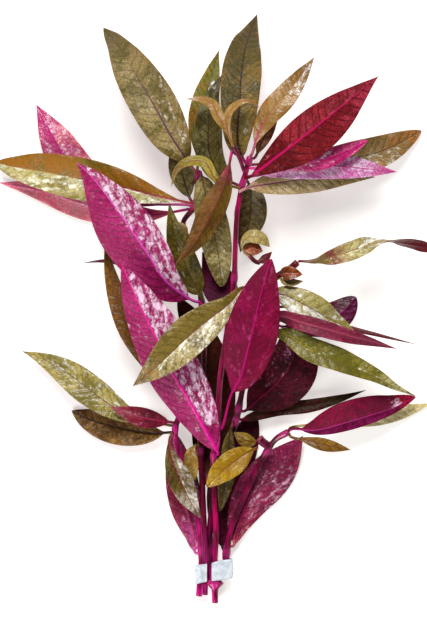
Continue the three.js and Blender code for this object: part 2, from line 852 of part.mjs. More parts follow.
// The lead strip: one bent ribbon round the stems, open between its ends, one end folded back.
const STRIP_BENDS = [
  [-3.6, 6.5],
  [-6.9, 6.5],
  [-8, 5.5],
  [-8, 1.2],
  [-7.2, STRIP_THICK / 2],
  [5.4, STRIP_THICK / 2],
  [6.2, 1.2],
  [6.2, 5.5],
  [5.4, 6.5],
  [-1.1, 6.5],
  [-1.6, 6.9],
  [-1.1, 7.3],
  [6.6, 7.5],
];

function ribbonOutline(bends, thick) {
  const points = bends.map(([x, z]) => new THREE.Vector2(x, z));
  const ways = points.slice(1).map((p, i) => p.clone().sub(points[i]).normalize());
  const offsets = points.map((p, i) => {
    const before = ways[Math.max(0, i - 1)];
    const after = ways[Math.min(ways.length - 1, i)];
    const across = before.clone().add(after).normalize();
    const reach = thick / 2 / across.dot(after);
    return new THREE.Vector2(-across.y, across.x).multiplyScalar(reach);
  });
  const outer = points.map((p, i) => p.clone().sub(offsets[i]));
  const inner = points.map((p, i) => p.clone().add(offsets[i]));
  return new THREE.Shape([...outer, ...inner.reverse()]);
}

const strip = new THREE.ExtrudeGeometry(ribbonOutline(STRIP_BENDS, STRIP_THICK), {
  depth: STRIP_WIDTH,
  bevelEnabled: false,
});
strip.rotateX(Math.PI / 2);
strip.applyMatrix4(new THREE.Matrix4().makeShear(STRIP_SLANT, 0, 0, 0, 0, 0));
strip.translate(0, STRIP_TOP_Y, 0);
addPiece("lead_strip", strip, finish(LEAD, 0.4, 0.9));

export default bunch;
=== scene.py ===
"""A tied bunch of wet, narrow-leaved pond plant, laid on a pale table and seen from straight above."""

from functools import partial

import bpy
import numpy as np
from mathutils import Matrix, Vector


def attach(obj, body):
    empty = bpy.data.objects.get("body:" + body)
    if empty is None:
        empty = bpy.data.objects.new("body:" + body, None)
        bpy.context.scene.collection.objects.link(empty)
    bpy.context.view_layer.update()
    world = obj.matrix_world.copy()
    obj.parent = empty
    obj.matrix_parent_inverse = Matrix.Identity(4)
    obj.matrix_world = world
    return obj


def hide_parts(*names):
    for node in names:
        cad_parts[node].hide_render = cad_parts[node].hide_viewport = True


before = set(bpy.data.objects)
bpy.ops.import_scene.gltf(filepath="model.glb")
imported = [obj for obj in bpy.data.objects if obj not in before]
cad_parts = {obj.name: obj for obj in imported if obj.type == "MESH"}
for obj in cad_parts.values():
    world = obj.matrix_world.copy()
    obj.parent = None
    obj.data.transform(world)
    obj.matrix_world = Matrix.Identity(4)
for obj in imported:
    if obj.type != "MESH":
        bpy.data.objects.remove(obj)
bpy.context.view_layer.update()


# The table, the soft daylight and the camera. The table is a plain white sheet. The big light stands
# beyond the crown, so leaf halves that tilt that way shine, and the camera looks straight down.
MM = 0.001
VIEW_CENTRE = (-1.0, -4.6)
VIEW_TALL = 256
CAMERA_HEIGHT = 4000
SENSOR_TALL = 36
LEAF_LEVEL = 12
TABLE_SIZE = 4000
TABLE_DROP = 0.3
TABLE_GLOW = 0.54
ROOM_GLOW = 0.14
LIGHT_SIZE = 900
LIGHT_LEVEL = 1.15


def ink(red, green, blue):
    """A colour as it looks in this light, 0 to 255, as the linear values that a shader takes."""
    shares = (((c / 255) + 0.055) / 1.055 for c in (red, green, blue))
    return (*(share**2.4 / LIGHT_LEVEL for share in shares), 1)


def soft_light(name, watts, place, colour=(1, 1, 1)):
    lamp = bpy.data.lights.new(name, "AREA")
    lamp.shape = "DISK"
    lamp.energy = watts
    lamp.size = LIGHT_SIZE * MM
    lamp.color = colour
    light = bpy.data.objects.new(name, lamp)
    light.location = Vector(place) * MM
    light.rotation_euler = (-Vector(place)).to_track_quat("-Z", "Y").to_euler()
    bpy.context.scene.collection.objects.link(light)


class Finish:
    """One material. Each method adds a node to it and gives back what comes out of that node."""

    def __init__(self, name):
        self.material = bpy.data.materials.new(name)
        self.material.use_nodes = True
        self.tree = self.material.node_tree
        self.skin = self.tree.nodes["Principled BSDF"]

    def add(self, kind, *values, **settings):
        node = self.tree.nodes.new(kind)
        for key, value in settings.items():
            setattr(node, key, value)
        for socket, value in zip(node.inputs, values):
            self.plug(socket, value)
        return node

    def plug(self, socket, value):
        if isinstance(value, bpy.types.NodeSocket):
            self.tree.links.new(value, socket)
        elif value is not None:
            socket.default_value = value

    def along(self, attribute):
        return self.add("ShaderNodeAttribute", attribute_name=attribute).outputs["Fac"]

    def place(self):
        return self.add("ShaderNodeTexCoord").outputs["Object"]

    def sum(self, operation, *values):
        return self.add("ShaderNodeMath", *values, operation=operation).outputs[0]

    def times(self, *values):
        return self.sum("MULTIPLY", *values)

    def plus(self, *values):
        return self.sum("ADD", *values)

    def minus(self, *values):
        return self.sum("SUBTRACT", *values)

    def fade(self, value, low, high, bottom=0.0, top=1.0):
        """Goes from bottom to top as value goes from low to high. Low may be the larger number."""
        ends = (value, low, high, bottom, top)
        return self.add("ShaderNodeMapRange", *ends, interpolation_type="SMOOTHSTEP").outputs[0]

    def cloud(self, place, size, detail=3.0, rough=0.5, output=0):
        """Noise with features of about size millimetres."""
        scale = 1 / (size * MM)
        return self.add("ShaderNodeTexNoise", place, None, scale, detail, rough).outputs[output]

    def strayed(self, place, size, reach):
        """The same place, moved by up to half of reach millimetres in waves of about size."""
        waves = self.cloud(place, size, 2.0, output=1)
        reaches = (reach * MM,) * 3
        shift = self.add("ShaderNodeVectorMath", waves, reaches, operation="MULTIPLY").outputs[0]
        return self.add("ShaderNodeVectorMath", place, shift, operation="ADD").outputs[0]

    def cells(self, place, size):
        """How far a point is from the edges of cells of about size millimetres."""
        scale = 1 / (size * MM)
        node = self.add("ShaderNodeTexVoronoi", place, None, scale, feature="DISTANCE_TO_EDGE")
        return node.outputs["Distance"]

    def blend(self, amount, first, second):
        node = self.tree.nodes.new("ShaderNodeMix")
        node.data_type = "RGBA"
        for index, value in ((0, amount), (6, first), (7, second)):
            self.plug(node.inputs[index], value)
        return node.outputs[2]

    def bump(self, height, distance, strength=1.0):
        node = self.add("ShaderNodeBump")
        for key, value in (("Strength", strength), ("Distance", distance * MM), ("Height", height)):
            self.plug(node.inputs[key], value)
        return node.outputs[0]

    def set(self, **values):
        for key, value in values.items():
            self.plug(self.skin.inputs[key.replace("_", " ")], value)
        return self.material


def white_sheet():
    sheet = Finish("table_white")
    fleck = sheet.fade(sheet.cloud(sheet.place(), 60, 4), 0.3, 0.7)
    return sheet.set(
        Base_Color=sheet.blend(fleck, (0.66, 0.64, 0.62, 1), (0.68, 0.67, 0.66, 1)),
        Roughness=0.8,
        Emission_Color=(1, 0.97, 0.94, 1),
        Emission_Strength=TABLE_GLOW,
    )


bpy.ops.mesh.primitive_grid_add(size=TABLE_SIZE * MM, location=(0, 0, -TABLE_DROP * MM))
table = bpy.context.object
table.name = "table"
table.data.materials.append(white_sheet())

world = bpy.data.worlds.new("room")
world.use_nodes = True
room = world.node_tree.nodes["Background"]
room.inputs["Color"].default_value = (1.0, 0.985, 0.965, 1)
room.inputs["Strength"].default_value = ROOM_GLOW
bpy.context.scene.world = world
bpy.context.scene.view_settings.view_transform = "Standard"

soft_light("window", 36, (-150, 1100, 1400), (1.0, 0.99, 0.97))
soft_light("fill", 22, (-700, -1150, 1000))

camera = bpy.data.objects.new("camera", bpy.data.cameras.new("camera"))
camera.data.sensor_width = SENSOR_TALL
camera.data.lens = SENSOR_TALL * (CAMERA_HEIGHT - LEAF_LEVEL) / VIEW_TALL
camera.location = (VIEW_CENTRE[0] * MM, VIEW_CENTRE[1] * MM, CAMERA_HEIGHT * MM)
bpy.context.scene.collection.objects.link(camera)
bpy.context.scene.camera = camera


# The stems: five smooth wet shoots, each one piece from its cut end to its tip, round with faint ribs
# and thicker at the nodes that bear the leaves. The two that lie lowest fork sideways near the tie.
STEM_RADIUS = 1.25
STEM_TIP_RADIUS = 1.0
NODE_SWELL = 0.4
NODE_REACH = 2.4
STEM_SIDES = 28
STEM_STEP = 1.1
STEM_RIBS = 7
RIB_HEIGHT = 0.05
CUT_BULGE, TIP_BULGE = 0.1, 0.3
COLLAR_Y, COLLAR_OUT, COLLAR_SPAN = -110.2, 1.9, 1.3
FORK_STUB = [[21.4, -55.4, 10], [18.8, -53.6, 11], [17.2, -52, 11.6]]
FORK_STUB_RADIUS = 1.7
STEM_GLOW = ink(236, 30, 160)
NODE_PALE = ink(222, 60, 150)
UP = np.array([0.0, 0.0, 1.0])
STEMS = {
    "stem_crown": dict(
        nodes=[-109.5, -59, -47, -4, 12, 50, 59],
        pink=(176, 0, 84), dark=(84, 0, 32), pith=(226, 120, 150),
        route=[
            [-0.4, -118, 3.6], [-0.5, -108, 4.4], [-0.6, -100.6, 4.6], [0, -88.6, 5], [-0.8, -72, 6.6],
            [-0.8, -58, 8.8], [0.4, -49, 10.6], [1.6, -28.6, 14], [4.4, -8.6, 17.5], [7.2, 11.4, 20],
            [7.6, 22.2, 21], [8.4, 37.4, 22.5], [10, 47.4, 23.5], [11.6, 53.4, 24], [13.6, 60.6, 25],
        ],
    ),
    "stem_left": dict(
        nodes=[-57, 2, 30, 41.5, 54], pink=(120, 0, 46), dark=(44, 0, 12), pith=(150, 84, 60),
        route=[
            [-4.6, -114.8, 4.2], [-4.4, -106, 4.6], [-4.2, -100, 4.6], [-4.8, -88.6, 4.8],
            [-5.6, -70, 5.6], [-6.4, -48.6, 6.5], [-4.8, -20, 8.5], [-5.6, 1.4, 10], [-9.5, 20, 11],
            [-13.2, 34, 12.5], [-8.4, 41.4, 14], [-7.4, 53.8, 16],
        ],
    ),
    "stem_low_left": dict(
        nodes=[-97, -48, -43], pink=(222, 10, 140), dark=(116, 0, 56), pith=(176, 30, 90),
        route=[
            [-6.9, -115.4, 2.6], [-6, -104, 2.3], [-5.8, -99, 2.4], [-6.8, -88.6, 3.2],
            [-8.6, -80, 4.4], [-13.2, -64.6, 7], [-16.4, -47.8, 9.5], [-14.4, -43, 9.6],
        ],
    ),
    "stem_right": dict(
        nodes=[-45, -40, -8, 7, 16], pink=(118, 0, 54), dark=(44, 0, 16), pith=(176, 60, 90),
        route=[
            [-2.2, -110, 2.1], [-2.4, -100, 2.1], [-2.5, -88.6, 2.3], [-1.4, -79, 2.6],
            [1.6, -68.6, 3.8], [4.6, -57, 6], [8, -44.6, 9], [13.6, -16.6, 12.5],
            [18.4, 7.4, 16], [18.6, 16.2, 17.5],
        ],
    ),
    "stem_low_right": dict(
        nodes=[-98, -57, -49.5], pink=(140, 0, 70), dark=(64, 0, 26), pith=(176, 60, 90),
        route=[
            [4.2, -107.4, 2.4], [3.9, -100.6, 2.5], [5.6, -90.2, 3.6], [8.4, -81.8, 4.6],
            [12.9, -71.8, 6], [16.3, -64.6, 7.4], [20, -57.6, 9], [24, -52.2, 11.4], [28.8, -49.4, 13],
        ],
    ),
}


def unit(vectors):
    return vectors / np.linalg.norm(vectors, axis=-1, keepdims=True)


def curve_through(points, shares):
    """Points and directions at shares of the length of the smooth curve through the given points."""
    p = np.array(points, float)
    p = np.vstack([2 * p[0] - p[1], p, 2 * p[-1] - p[-2]])
    steps = np.linspace(0, 1, 60, endpoint=False)[:, None]
    stretches = []
    for a, b, c, d in zip(p, p[1:], p[2:], p[3:]):
        before, here, after = (np.linalg.norm(v) ** 0.5 for v in (b - a, c - b, d - c))
        leave = ((b - a) / before - (c - a) / (before + here) + (c - b) / here) * here
        arrive = ((c - b) / here - (d - b) / (here + after) + (d - c) / after) * here
        bend = 3 * (c - b) - 2 * leave - arrive
        twist = 2 * (b - c) + leave + arrive
        stretches.append(b + leave * steps + bend * steps**2 + twist * steps**3)
    dense = np.vstack([*stretches, p[-2]])
    run = np.concatenate([[0], np.cumsum(np.linalg.norm(np.diff(dense, axis=0), axis=1))])
    wanted = np.asarray(shares) * run[-1]
    slopes = np.gradient(dense, run, axis=0)
    spots, ways = (
        np.stack([np.interp(wanted, run, column) for column in values.T], axis=1)
        for values in (dense, slopes)
    )
    return spots, unit(ways), run[-1]


def stem_radius(stem, share, y):
    plain = STEM_RADIUS + (STEM_TIP_RADIUS - STEM_RADIUS) * share
    swell = np.max([np.exp(-(((y - n) / NODE_REACH) ** 2)) for n in stem["nodes"]], axis=0)
    return plain * (1 + NODE_SWELL * swell), swell


def walls(rings, size, turned=False):
    """The faces from each ring of points to the next. turned makes them look the other way."""
    faces = []
    for start in range(0, (rings - 1) * size, size):
        for j in range(size):
            a, b = start + j, start + (j + 1) % size
            if turned:
                a, b = b, a
            faces.append((a, b, b + size, a + size))
    return faces


def tube(points, radius=None, stem=None, collar=False):
    """A closed tube, as points, faces, which faces are its ends, and its marks for the finish."""
    length = curve_through(points, [0, 1])[2]
    rings = max(12, int(length / STEM_STEP))
    shares = np.linspace(0, 1, rings)
    spots, ways, _ = curve_through(points, shares)
    level = unit(np.cross(ways, UP))
    rise = np.cross(level, ways)
    if stem:
        reach, swell = stem_radius(stem, shares, spots[:, 1])
    else:
        reach, swell = np.full(rings, float(radius)), np.zeros(rings)
    turn = np.linspace(0, 2 * np.pi, STEM_SIDES, endpoint=False)
    wide = reach[:, None] * (1 + RIB_HEIGHT * np.cos(STEM_RIBS * turn))
    if collar:
        bulge = np.exp(-(((spots[:, 1] - COLLAR_Y) / COLLAR_SPAN) ** 2))
        wide = wide + COLLAR_OUT * bulge[:, None] * np.abs(np.cos(turn)) ** 1.5
        swell = np.maximum(swell, bulge)
    ring = level[:, None] * np.cos(turn)[:, None] + rise[:, None] * np.sin(turn)[:, None]
    skin = spots[:, None] + ring * wide[..., None]
    caps = spots[0] - ways[0] * CUT_BULGE, spots[-1] + ways[-1] * TIP_BULGE
    corners = np.vstack([skin.reshape(-1, 3), *caps])
    faces = walls(rings, STEM_SIDES, turned=True)
    last, tip = (rings - 1) * STEM_SIDES, rings * STEM_SIDES
    ends = []
    for j in range(STEM_SIDES):
        k = (j + 1) % STEM_SIDES
        ends += [(j, k, tip), (last + k, last + j, tip + 1)]
    marks = {
        "along": np.append(np.repeat(shares, STEM_SIDES), [0, 1]),
        "swell": np.append(np.repeat(swell, STEM_SIDES), [0, 0]),
    }
    back = [0] * len(faces) + [1] * len(ends)
    return {"points": corners, "faces": faces + ends, "back": back, "marks": marks}


def put_together(name, node, slot, parts):
    """One piece from its parts: each is a shape, its finish and the finish of its back or ends."""
    corners, faces, finishes, indices = [], [], [], []
    marks = {mark: [] for mark in sorted({mark for shape, *_ in parts for mark in shape["marks"]})}
    start = 0
    for shape, *pair in parts:
        corners.append(shape["points"])
        faces += [tuple(start + v for v in face) for face in shape["faces"]]
        indices += [len(finishes) + back for back in shape["back"]]
        finishes += pair
        count = len(shape["points"])
        for mark, values in marks.items():
            values.append(shape["marks"].get(mark, np.zeros(count)))
        start += count
    mesh = bpy.data.meshes.new(name)
    mesh.from_pydata((np.vstack(corners) * MM).tolist(), [], faces)
    for finish in finishes:
        mesh.materials.append(finish)
    mesh.polygons.foreach_set("material_index", indices)
    mesh.polygons.foreach_set("use_smooth", [True] * len(faces))
    for mark, values in marks.items():
        mesh.attributes.new(mark, "FLOAT", "POINT").data.foreach_set("value", np.concatenate(values))
    mesh.update()
    piece = bpy.data.objects.new(name, mesh)
    bpy.context.scene.collection.objects.link(piece)
    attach(piece, "root")
    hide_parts(node)


def stem_skin(name, pink, dark):
    skin = Finish(name)
    place = skin.place()
    drawn = skin.add("ShaderNodeMapping", place, None, None, (1.0, 0.12, 1.0)).outputs[0]
    streak = skin.cloud(drawn, 1.6, 4, 0.6)
    patch = skin.cloud(place, 14, 2)
    colour = skin.blend(skin.fade(streak, 0.38, 0.62), dark, pink)
    colour = skin.blend(skin.fade(patch, 0.42, 0.7, 0, 0.55), colour, dark)
    low = skin.fade(skin.along("along"), 0.0, 0.22, 0.55, 0.0)
    colour = skin.blend(skin.times(low, skin.fade(streak, 0.4, 0.6)), colour, STEM_GLOW)
    colour = skin.blend(skin.fade(skin.along("swell"), 0.3, 1.0, 0, 0.35), colour, NODE_PALE)
    return skin.set(
        Base_Color=colour,
        Roughness=skin.fade(patch, 0.3, 0.7, 0.22, 0.38),
        Normal=skin.bump(skin.plus(streak, skin.cloud(place, 0.7, 3)), 0.12, 0.5),
        Specular_IOR_Level=0.25,
        Coat_Weight=0.3,
        Coat_Roughness=0.1,
    )


def cut_end(name, colour):
    end = Finish(name)
    pit = end.cloud(end.place(), 0.5, 3, 0.6)
    dark = (*(0.45 * c for c in colour[:3]), 1)
    return end.set(
        Base_Color=end.blend(end.fade(pit, 0.35, 0.6), dark, colour),
        Roughness=0.5,
        Normal=end.bump(pit, 0.2),
    )


wet_skins = {}
for name, stem in STEMS.items():
    wet_skins[name] = stem_skin(f"{name}_wet", ink(*stem["pink"]), ink(*stem["dark"]))
    pair = wet_skins[name], cut_end(f"{name}_cut", ink(*stem["pith"]))
    parts = [(tube(stem["route"], stem=stem, collar=name == "stem_crown"), *pair)]
    if name == "stem_low_right":
        parts.append((tube(FORK_STUB, radius=FORK_STUB_RADIUS), *pair))
    put_together(f"{name}_skin", name, "stem_skin", parts)


# The tie: one strip of soft lead, bent by hand round the stems. It stays open between its ends, and
# the right end is folded back over itself into a square flap.
STRIP_THICK = 0.55
STRIP_EDGE = 0.55
STRIP_WIDTH = 7.6
STRIP_TOP_Y = -101.4
STRIP_SLANT = 0.17
STRIP_BENDS = [
    (-3.6, 6.5), (-6.9, 6.5), (-8, 5.5), (-8, 1.2), (-7.2, 0.275), (5.4, 0.275), (6.2, 1.2),
    (6.2, 5.5), (5.4, 6.5), (-1.1, 6.5), (-1.6, 6.9), (-1.1, 7.3), (6.6, 7.5),
]
STRIP_COLUMNS = 18
STRIP_ROWS = 190
STRIP_DENT = 0.14
STRIP_FRILL = 0.22
STRIP_FRILL_TURNS = 31
STRIP_SEED = 5
TABLE_GAP = 0.02


def strip_shape():
    shares = np.linspace(0, 1, STRIP_ROWS)
    spots, ways, _ = curve_through([(x, 0, z) for x, z in STRIP_BENDS], shares)
    out = np.stack([ways[:, 2], 0 * shares, -ways[:, 0]], axis=1)
    columns = np.linspace(0, 1, STRIP_COLUMNS)
    waves = np.random.default_rng(STRIP_SEED).uniform(-1, 1, (6, 4))
    corners = []
    ring = [(c, 0.5) for c in columns] + [(c, -0.5) for c in columns[::-1]]
    for i, row in enumerate(shares):
        for c, lift in ring:
            edge = STRIP_EDGE if c in (0.0, 1.0) else 1.0
            frill = STRIP_FRILL * np.sin(STRIP_FRILL_TURNS * row + 4) * (abs(c - 0.5) > 0.45)
            dent = 0
            for along, across, phase, depth in waves:
                turns = 9 * along * (row * 6) + 7 * across * (c * 1.4) + 6 * phase
                dent = dent + np.sin(turns) * depth
            push = STRIP_DENT * (dent / 3) + lift * STRIP_THICK * edge
            x, _, z = spots[i] + out[i] * push
            y = STRIP_TOP_Y + STRIP_SLANT * x - c * STRIP_WIDTH + frill * (1 if c < 0.5 else -1) * 0.8
            corners.append((x, y, max(z, TABLE_GAP)))
    size = len(ring)
    last = (STRIP_ROWS - 1) * size
    faces = [*walls(STRIP_ROWS, size), tuple(range(size))[::-1], tuple(range(last, last + size))]
    marks = {"along": np.repeat(shares, size)}
    return {"points": np.array(corners), "faces": faces, "back": [0] * len(faces), "marks": marks}


def lead_sheet():
    lead = Finish("pale_lead")
    place = lead.place()
    scuff = lead.cloud(place, 2.2, 5, 0.65)
    return lead.set(
        Base_Color=lead.blend(lead.fade(scuff, 0.35, 0.65), ink(188, 198, 210), ink(224, 230, 236)),
        Metallic=0.2,
        Roughness=lead.fade(scuff, 0.3, 0.7, 0.34, 0.55),
        Normal=lead.bump(lead.plus(scuff, lead.cloud(place, 0.5, 3)), 0.35, 0.7),
    )


lead = lead_sheet()
put_together("lead_strip_bent", "lead_strip", "lead", [(strip_shape(), lead, lead)])


# Leaves, all grown alike: a narrow blade folded along its midrib, quilted between its side veins, with
# a wavy rim, on a short stalk out of a node. One face is olive, the other magenta.
BLADE_THICK = 0.4
PETIOLE_HALF_WIDTH = 0.6
PETIOLE_THICK = 1.1
PETIOLE_LENGTH = 0.07
MARGIN_FLARE = 0.3
AXIL_GAP = 0.35
LEAF_ROW = 0.8
LEAF_ROWS = (26, 96)
ROWS_END = 0.93
TIP_ROWS = [0.95, 0.968, 0.983, 0.994]
SIDE_COLUMNS = [0, 0.03, 0.08, 0.16, 0.27, 0.39, 0.52, 0.65, 0.77, 0.87, 0.945, 0.985, 1.0]
KEEL_WIDTH = 0.6
KEEL_PROUD = 0.32
KEEL_SUNK = -0.14
VEIN_GAP = 3.8
VEIN_SLANT, VEIN_SWEEP = 0.75, 0.035
SWELL_REACH = 0.12
MILD = 0.4


def foot_of(stem, point):
    """A leaf's foot just off the skin of its stem, and the spot within the stem that it grows from."""
    shares = np.linspace(0, 1, 301)
    spots, _, _ = curve_through(stem["route"], shares)
    nearest = int(np.argmin(np.linalg.norm(spots - np.array(point), axis=1)))
    centre = spots[nearest]
    radius, _ = stem_radius(stem, shares[nearest], centre[1])
    way = unit(np.array(point, float) - centre)
    return centre + way * (radius + PETIOLE_THICK / 2 + AXIL_GAP), centre + way * radius * 0.4


def half_width(share, wide, belly, stalk, foot, tip):
    narrow = PETIOLE_HALF_WIDTH * (1 - share)
    along = np.clip((share - stalk) / (1 - stalk), 0, 1)
    swell = np.maximum(0, np.sin(np.pi * along ** (np.log(0.5) / np.log(belly))))
    return np.maximum(narrow, wide / 2 * swell ** np.where(along < belly, foot, tip))


def leaf_shape(
    midrib, wide, stem=None, fold=8, roll=(0, 0), lean=0, belly=0.44, stalk=PETIOLE_LENGTH,
    foot=1.25, tip=1.05, under=False, quilt=0.08, ripple=0.35, seed=1,
):
    """A closed leaf. fold lifts its rims and roll turns it, in degrees; under lays it underside up."""
    root = 0.0
    spine = midrib
    if stem:
        start, inside = foot_of(STEMS[stem], midrib[0])
        root = np.linalg.norm(start - inside)
        spine = [inside, start, *midrib[1:]]
    end, _, total = curve_through(spine, [0, 1])
    rows = int(np.clip(total / LEAF_ROW, *LEAF_ROWS))
    runs = np.append(np.linspace(0, total * ROWS_END, rows), total * np.array(TIP_ROWS))
    count = len(runs)
    centre, ways, _ = curve_through(spine, runs / total)
    share = np.clip((runs - root) / (total - root), 0, 1)
    level = unit(np.cross(ways, UP))
    rise = np.cross(level, ways)
    turn = np.radians(roll[0] + (roll[1] - roll[0]) * share)[:, None]
    side = level * np.cos(turn) + rise * np.sin(turn)
    face = rise * np.cos(turn) - level * np.sin(turn)
    right = np.array(SIDE_COLUMNS)
    across = np.concatenate([-right[:0:-1], right])
    columns = len(across)
    size = np.abs(across)
    half = half_width(share, wide, belly, stalk, foot, tip)
    reach = half[:, None] * (1 + lean * np.sign(across))
    out = reach * size
    grown = np.clip((share - stalk) / SWELL_REACH, 0, 1)[:, None]
    run = runs[:, None] - root
    slant = run - VEIN_SLANT * out - VEIN_SWEEP * out**2
    a, b, c, d = np.random.default_rng(seed).uniform(0, 6.28, 4)
    vein = slant / VEIN_GAP + 0.5 * (across > 0)
    vein = vein + 0.3 * np.sin(run / 5.3 + a) + 0.16 * np.sin(out / 1.9 + b)
    slope = np.tan(np.radians(fold)) / (1 - MARGIN_FLARE / 2)
    height = reach * slope * (np.sqrt(size**2 + 0.0009) - MARGIN_FLARE * size**2)
    pillow = np.clip(4 * size * (1 - size), 0, 1) ** 0.8 * np.minimum(1, out / 1.5) * grown
    height = height + (1 if under else -1) * quilt * np.cos(2 * np.pi * vein) * pillow
    waves = np.sin(run / 3.1 + c * across + a) + 0.7 * np.sin(run / 1.7 + d - 2 * across)
    height = height + ripple * waves * size**3 * grown * np.minimum(1, half / 3)[:, None]
    height = height + 0.3 * np.sin(run / 9 + d) * size * grown * np.sign(across)
    keel = np.exp(-((out / KEEL_WIDTH) ** 2)) * grown * (1 - 0.6 * share[:, None])
    thick = BLADE_THICK + (PETIOLE_THICK - BLADE_THICK) * np.exp(-share / PETIOLE_LENGTH)
    body = thick[:, None] / 2 * np.sqrt(np.clip(1 - size ** (2 + 10 * grown), 0, 1))
    above, below = (KEEL_PROUD, KEEL_SUNK) if under else (KEEL_SUNK, KEEL_PROUD)
    lateral = reach * across
    top, low = (
        centre[:, None] + side[:, None] * lateral[..., None] + face[:, None] * surface[..., None]
        for surface in (height + body + above * keel, height - body - below * keel)
    )

    def ringed(upper, lower):
        return np.concatenate([upper, lower[:, -2:0:-1]], axis=1)

    def marked(values, ends):
        values = np.broadcast_to(values, (count, columns))
        return np.append(ringed(values, values), ends)

    loop = ringed(top, low)
    around = loop.shape[1]
    faces = walls(count, around)
    back = [int(j >= columns - 1) for j in range(around)] * (count - 1)
    last, tips = (count - 1) * around, count * around
    for j in range(around):
        k = (j + 1) % around
        faces += [(last + j, last + k, tips + 1), (k, j, tips)]
        back += [int(j >= columns - 1)] * 2
    marks = {
        "along": marked(share[:, None], (0, 1)),
        "across": marked(across[None], (0, 0)),
        "reach": marked(lateral, (0, 0)),
        "vein": marked(vein, (vein[0, 0], vein[-1, 0])),
    }
    points = np.vstack([loop.reshape(-1, 3), end])
    return {"points": points, "faces": faces, "back": back, "marks": marks}


def tint(values):
    """A colour and the numbers after it: how strong, how far or how wide it is, else MILD."""
    return values and (ink(*values[:3]), *(values[3:] or (MILD,)))


def leaf_face(
    name, blade, blotch, left=None, right=None, foot=None, tip=None, rim=None, vein=None, net=0.0,
    midrib=None, glare=None, span=(0.0, 1.0), rough=0.42, coat=0.3, relief=1.0, cover=0.5,
):
    """The finish of a leaf's face, in colours of 0 to 255 with the numbers that tint takes."""
    left, right, foot, tip, rim, vein, midrib, glare = map(
        tint, (left, right, foot, tip, rim, vein, midrib, glare)
    )
    skin = Finish(name)
    fade, blend, cloud_of, cells = skin.fade, skin.blend, skin.cloud, skin.cells
    times, plus, minus = skin.times, skin.plus, skin.minus
    along, across, reach, ribs = (skin.along(mark) for mark in ("along", "across", "reach", "vein"))
    place = skin.place()
    cloud = cloud_of(place, 9, 3)
    grain = cloud_of(place, 1.5, 4, 0.6)
    mottle = plus(times(cloud, 0.6), times(grain, 0.4))
    colour = ink(*blade)
    strayed = plus(along, times(minus(mottle, 0.5), 0.5))
    to_right = fade(across, -0.05, 0.05)
    aside = skin.sum("ABSOLUTE", across)
    if left:
        colour = blend(times(minus(1.0, to_right), left[1]), colour, left[0])
    if right:
        colour = blend(times(to_right, right[1]), colour, right[0])
    if foot:
        colour = blend(fade(strayed, foot[1] + 0.08, foot[1] - 0.08), colour, foot[0])
    if tip:
        colour = blend(fade(strayed, tip[1] - 0.1, tip[1] + 0.12, 0, 0.9), colour, tip[0])
    if rim:
        edge = plus(aside, times(minus(grain, 0.5), 0.5))
        colour = blend(fade(edge, 0.55, 1.05, 0, rim[1]), colour, rim[0])
    colour = blend(fade(mottle, cover + 0.07, cover - 0.07, 0, 0.85), colour, ink(*blotch))
    wave = skin.sum("PINGPONG", plus(ribs, times(grain, 0.3)), 0.5)
    web = cells(skin.strayed(place, 1.4, 1.6), 1.8)
    knots = cells(place, 0.8)
    if vein:
        line = times(fade(wave, 0.1, 0.02), fade(aside, 1.0, 0.6))
        line = times(line, fade(mottle, 0.42, 0.56, 0.15, 1.0))
        # Besides the real dark vein lines, specks and net, the vein colour is laid as a broad soft band
        # along each side vein: painted shade in the furrows of the quilting.
        for amount in (
            fade(cloud_of(place, 0.5, 2), 0.5, 0.64, 0.0, 0.6),
            fade(wave, 0.22, 0.0, 0.0, 0.6 * vein[1]),
            times(line, vein[1]),
            fade(web, 0.12, 0.0, 0.0, net),
            fade(knots, 0.12, 0.0, 0.0, net * 0.5),
        ):
            colour = blend(amount, colour, vein[0])
    dull = fade(grain, 0.35, 0.65, rough - 0.08, rough + 0.08)
    # The glare paints the shine of the wet skin into the colour: a soft wash and pale streaks of
    # painted highlight on the halves and along the span given, where the leaf would mirror the big
    # light.
    if glare:
        tone, on_left, on_right = glare
        drift = skin.add("ShaderNodeCombineXYZ", times(reach, 0.5), ribs, cloud).outputs[0]
        streak = skin.add("ShaderNodeTexNoise", drift, None, 0.85, 5.0, 0.6).outputs[0]
        begin, stop = span
        inside = times(
            fade(strayed, begin - 0.06, begin + 0.06), fade(strayed, stop + 0.06, stop - 0.06)
        )
        amount = times(fade(across, -0.05, 0.05, on_left, on_right), inside)
        edge = minus(0.76, times(amount, 0.46))
        squiggle = cells(skin.strayed(place, 2.2, 4.5), 3.4)
        over = minus(plus(streak, fade(squiggle, 0.0, 0.2, -0.08, 0.03)), edge)
        shine = fade(over, -0.07, 0.07)
        veil = (*(0.55 * c for c in tone[:3]), 1)
        colour = blend(times(shine, 0.45), colour, veil)
        colour = blend(fade(over, 0.0, 0.17, 0, 0.94), colour, tone)
        dull = minus(dull, times(shine, 0.12))
    if midrib:
        width = fade(along, 0.0, 1.0, midrib[1], midrib[1] * 0.3)
        drawn = fade(skin.sum("DIVIDE", skin.sum("ABSOLUTE", reach), width), 1.2, 0.5)
        if len(midrib) > 2:
            drawn = times(drawn, fade(along, midrib[2] + 0.15, midrib[2] - 0.15, 0.15, 1))
        colour = blend(drawn, colour, midrib[0])
    if foot:
        colour = blend(fade(along, 0.07, 0.03), colour, foot[0])
    height = plus(times(fade(wave, 0.04, 0.32), 0.35), times(grain, 0.5))
    height = plus(height, fade(web, 0.0, 0.25, 0.0, 0.28))
    height = plus(height, fade(knots, 0.0, 0.2, 0.0, 0.1))
    normal = skin.bump(height, 0.4, 0.5 * relief)
    return skin.set(
        Base_Color=colour,
        Roughness=dull,
        Normal=normal,
        Specular_IOR_Level=0.08 + 0.5 * coat,
        Coat_Weight=coat,
        Coat_Roughness=0.13,
        Coat_Normal=normal,
    )


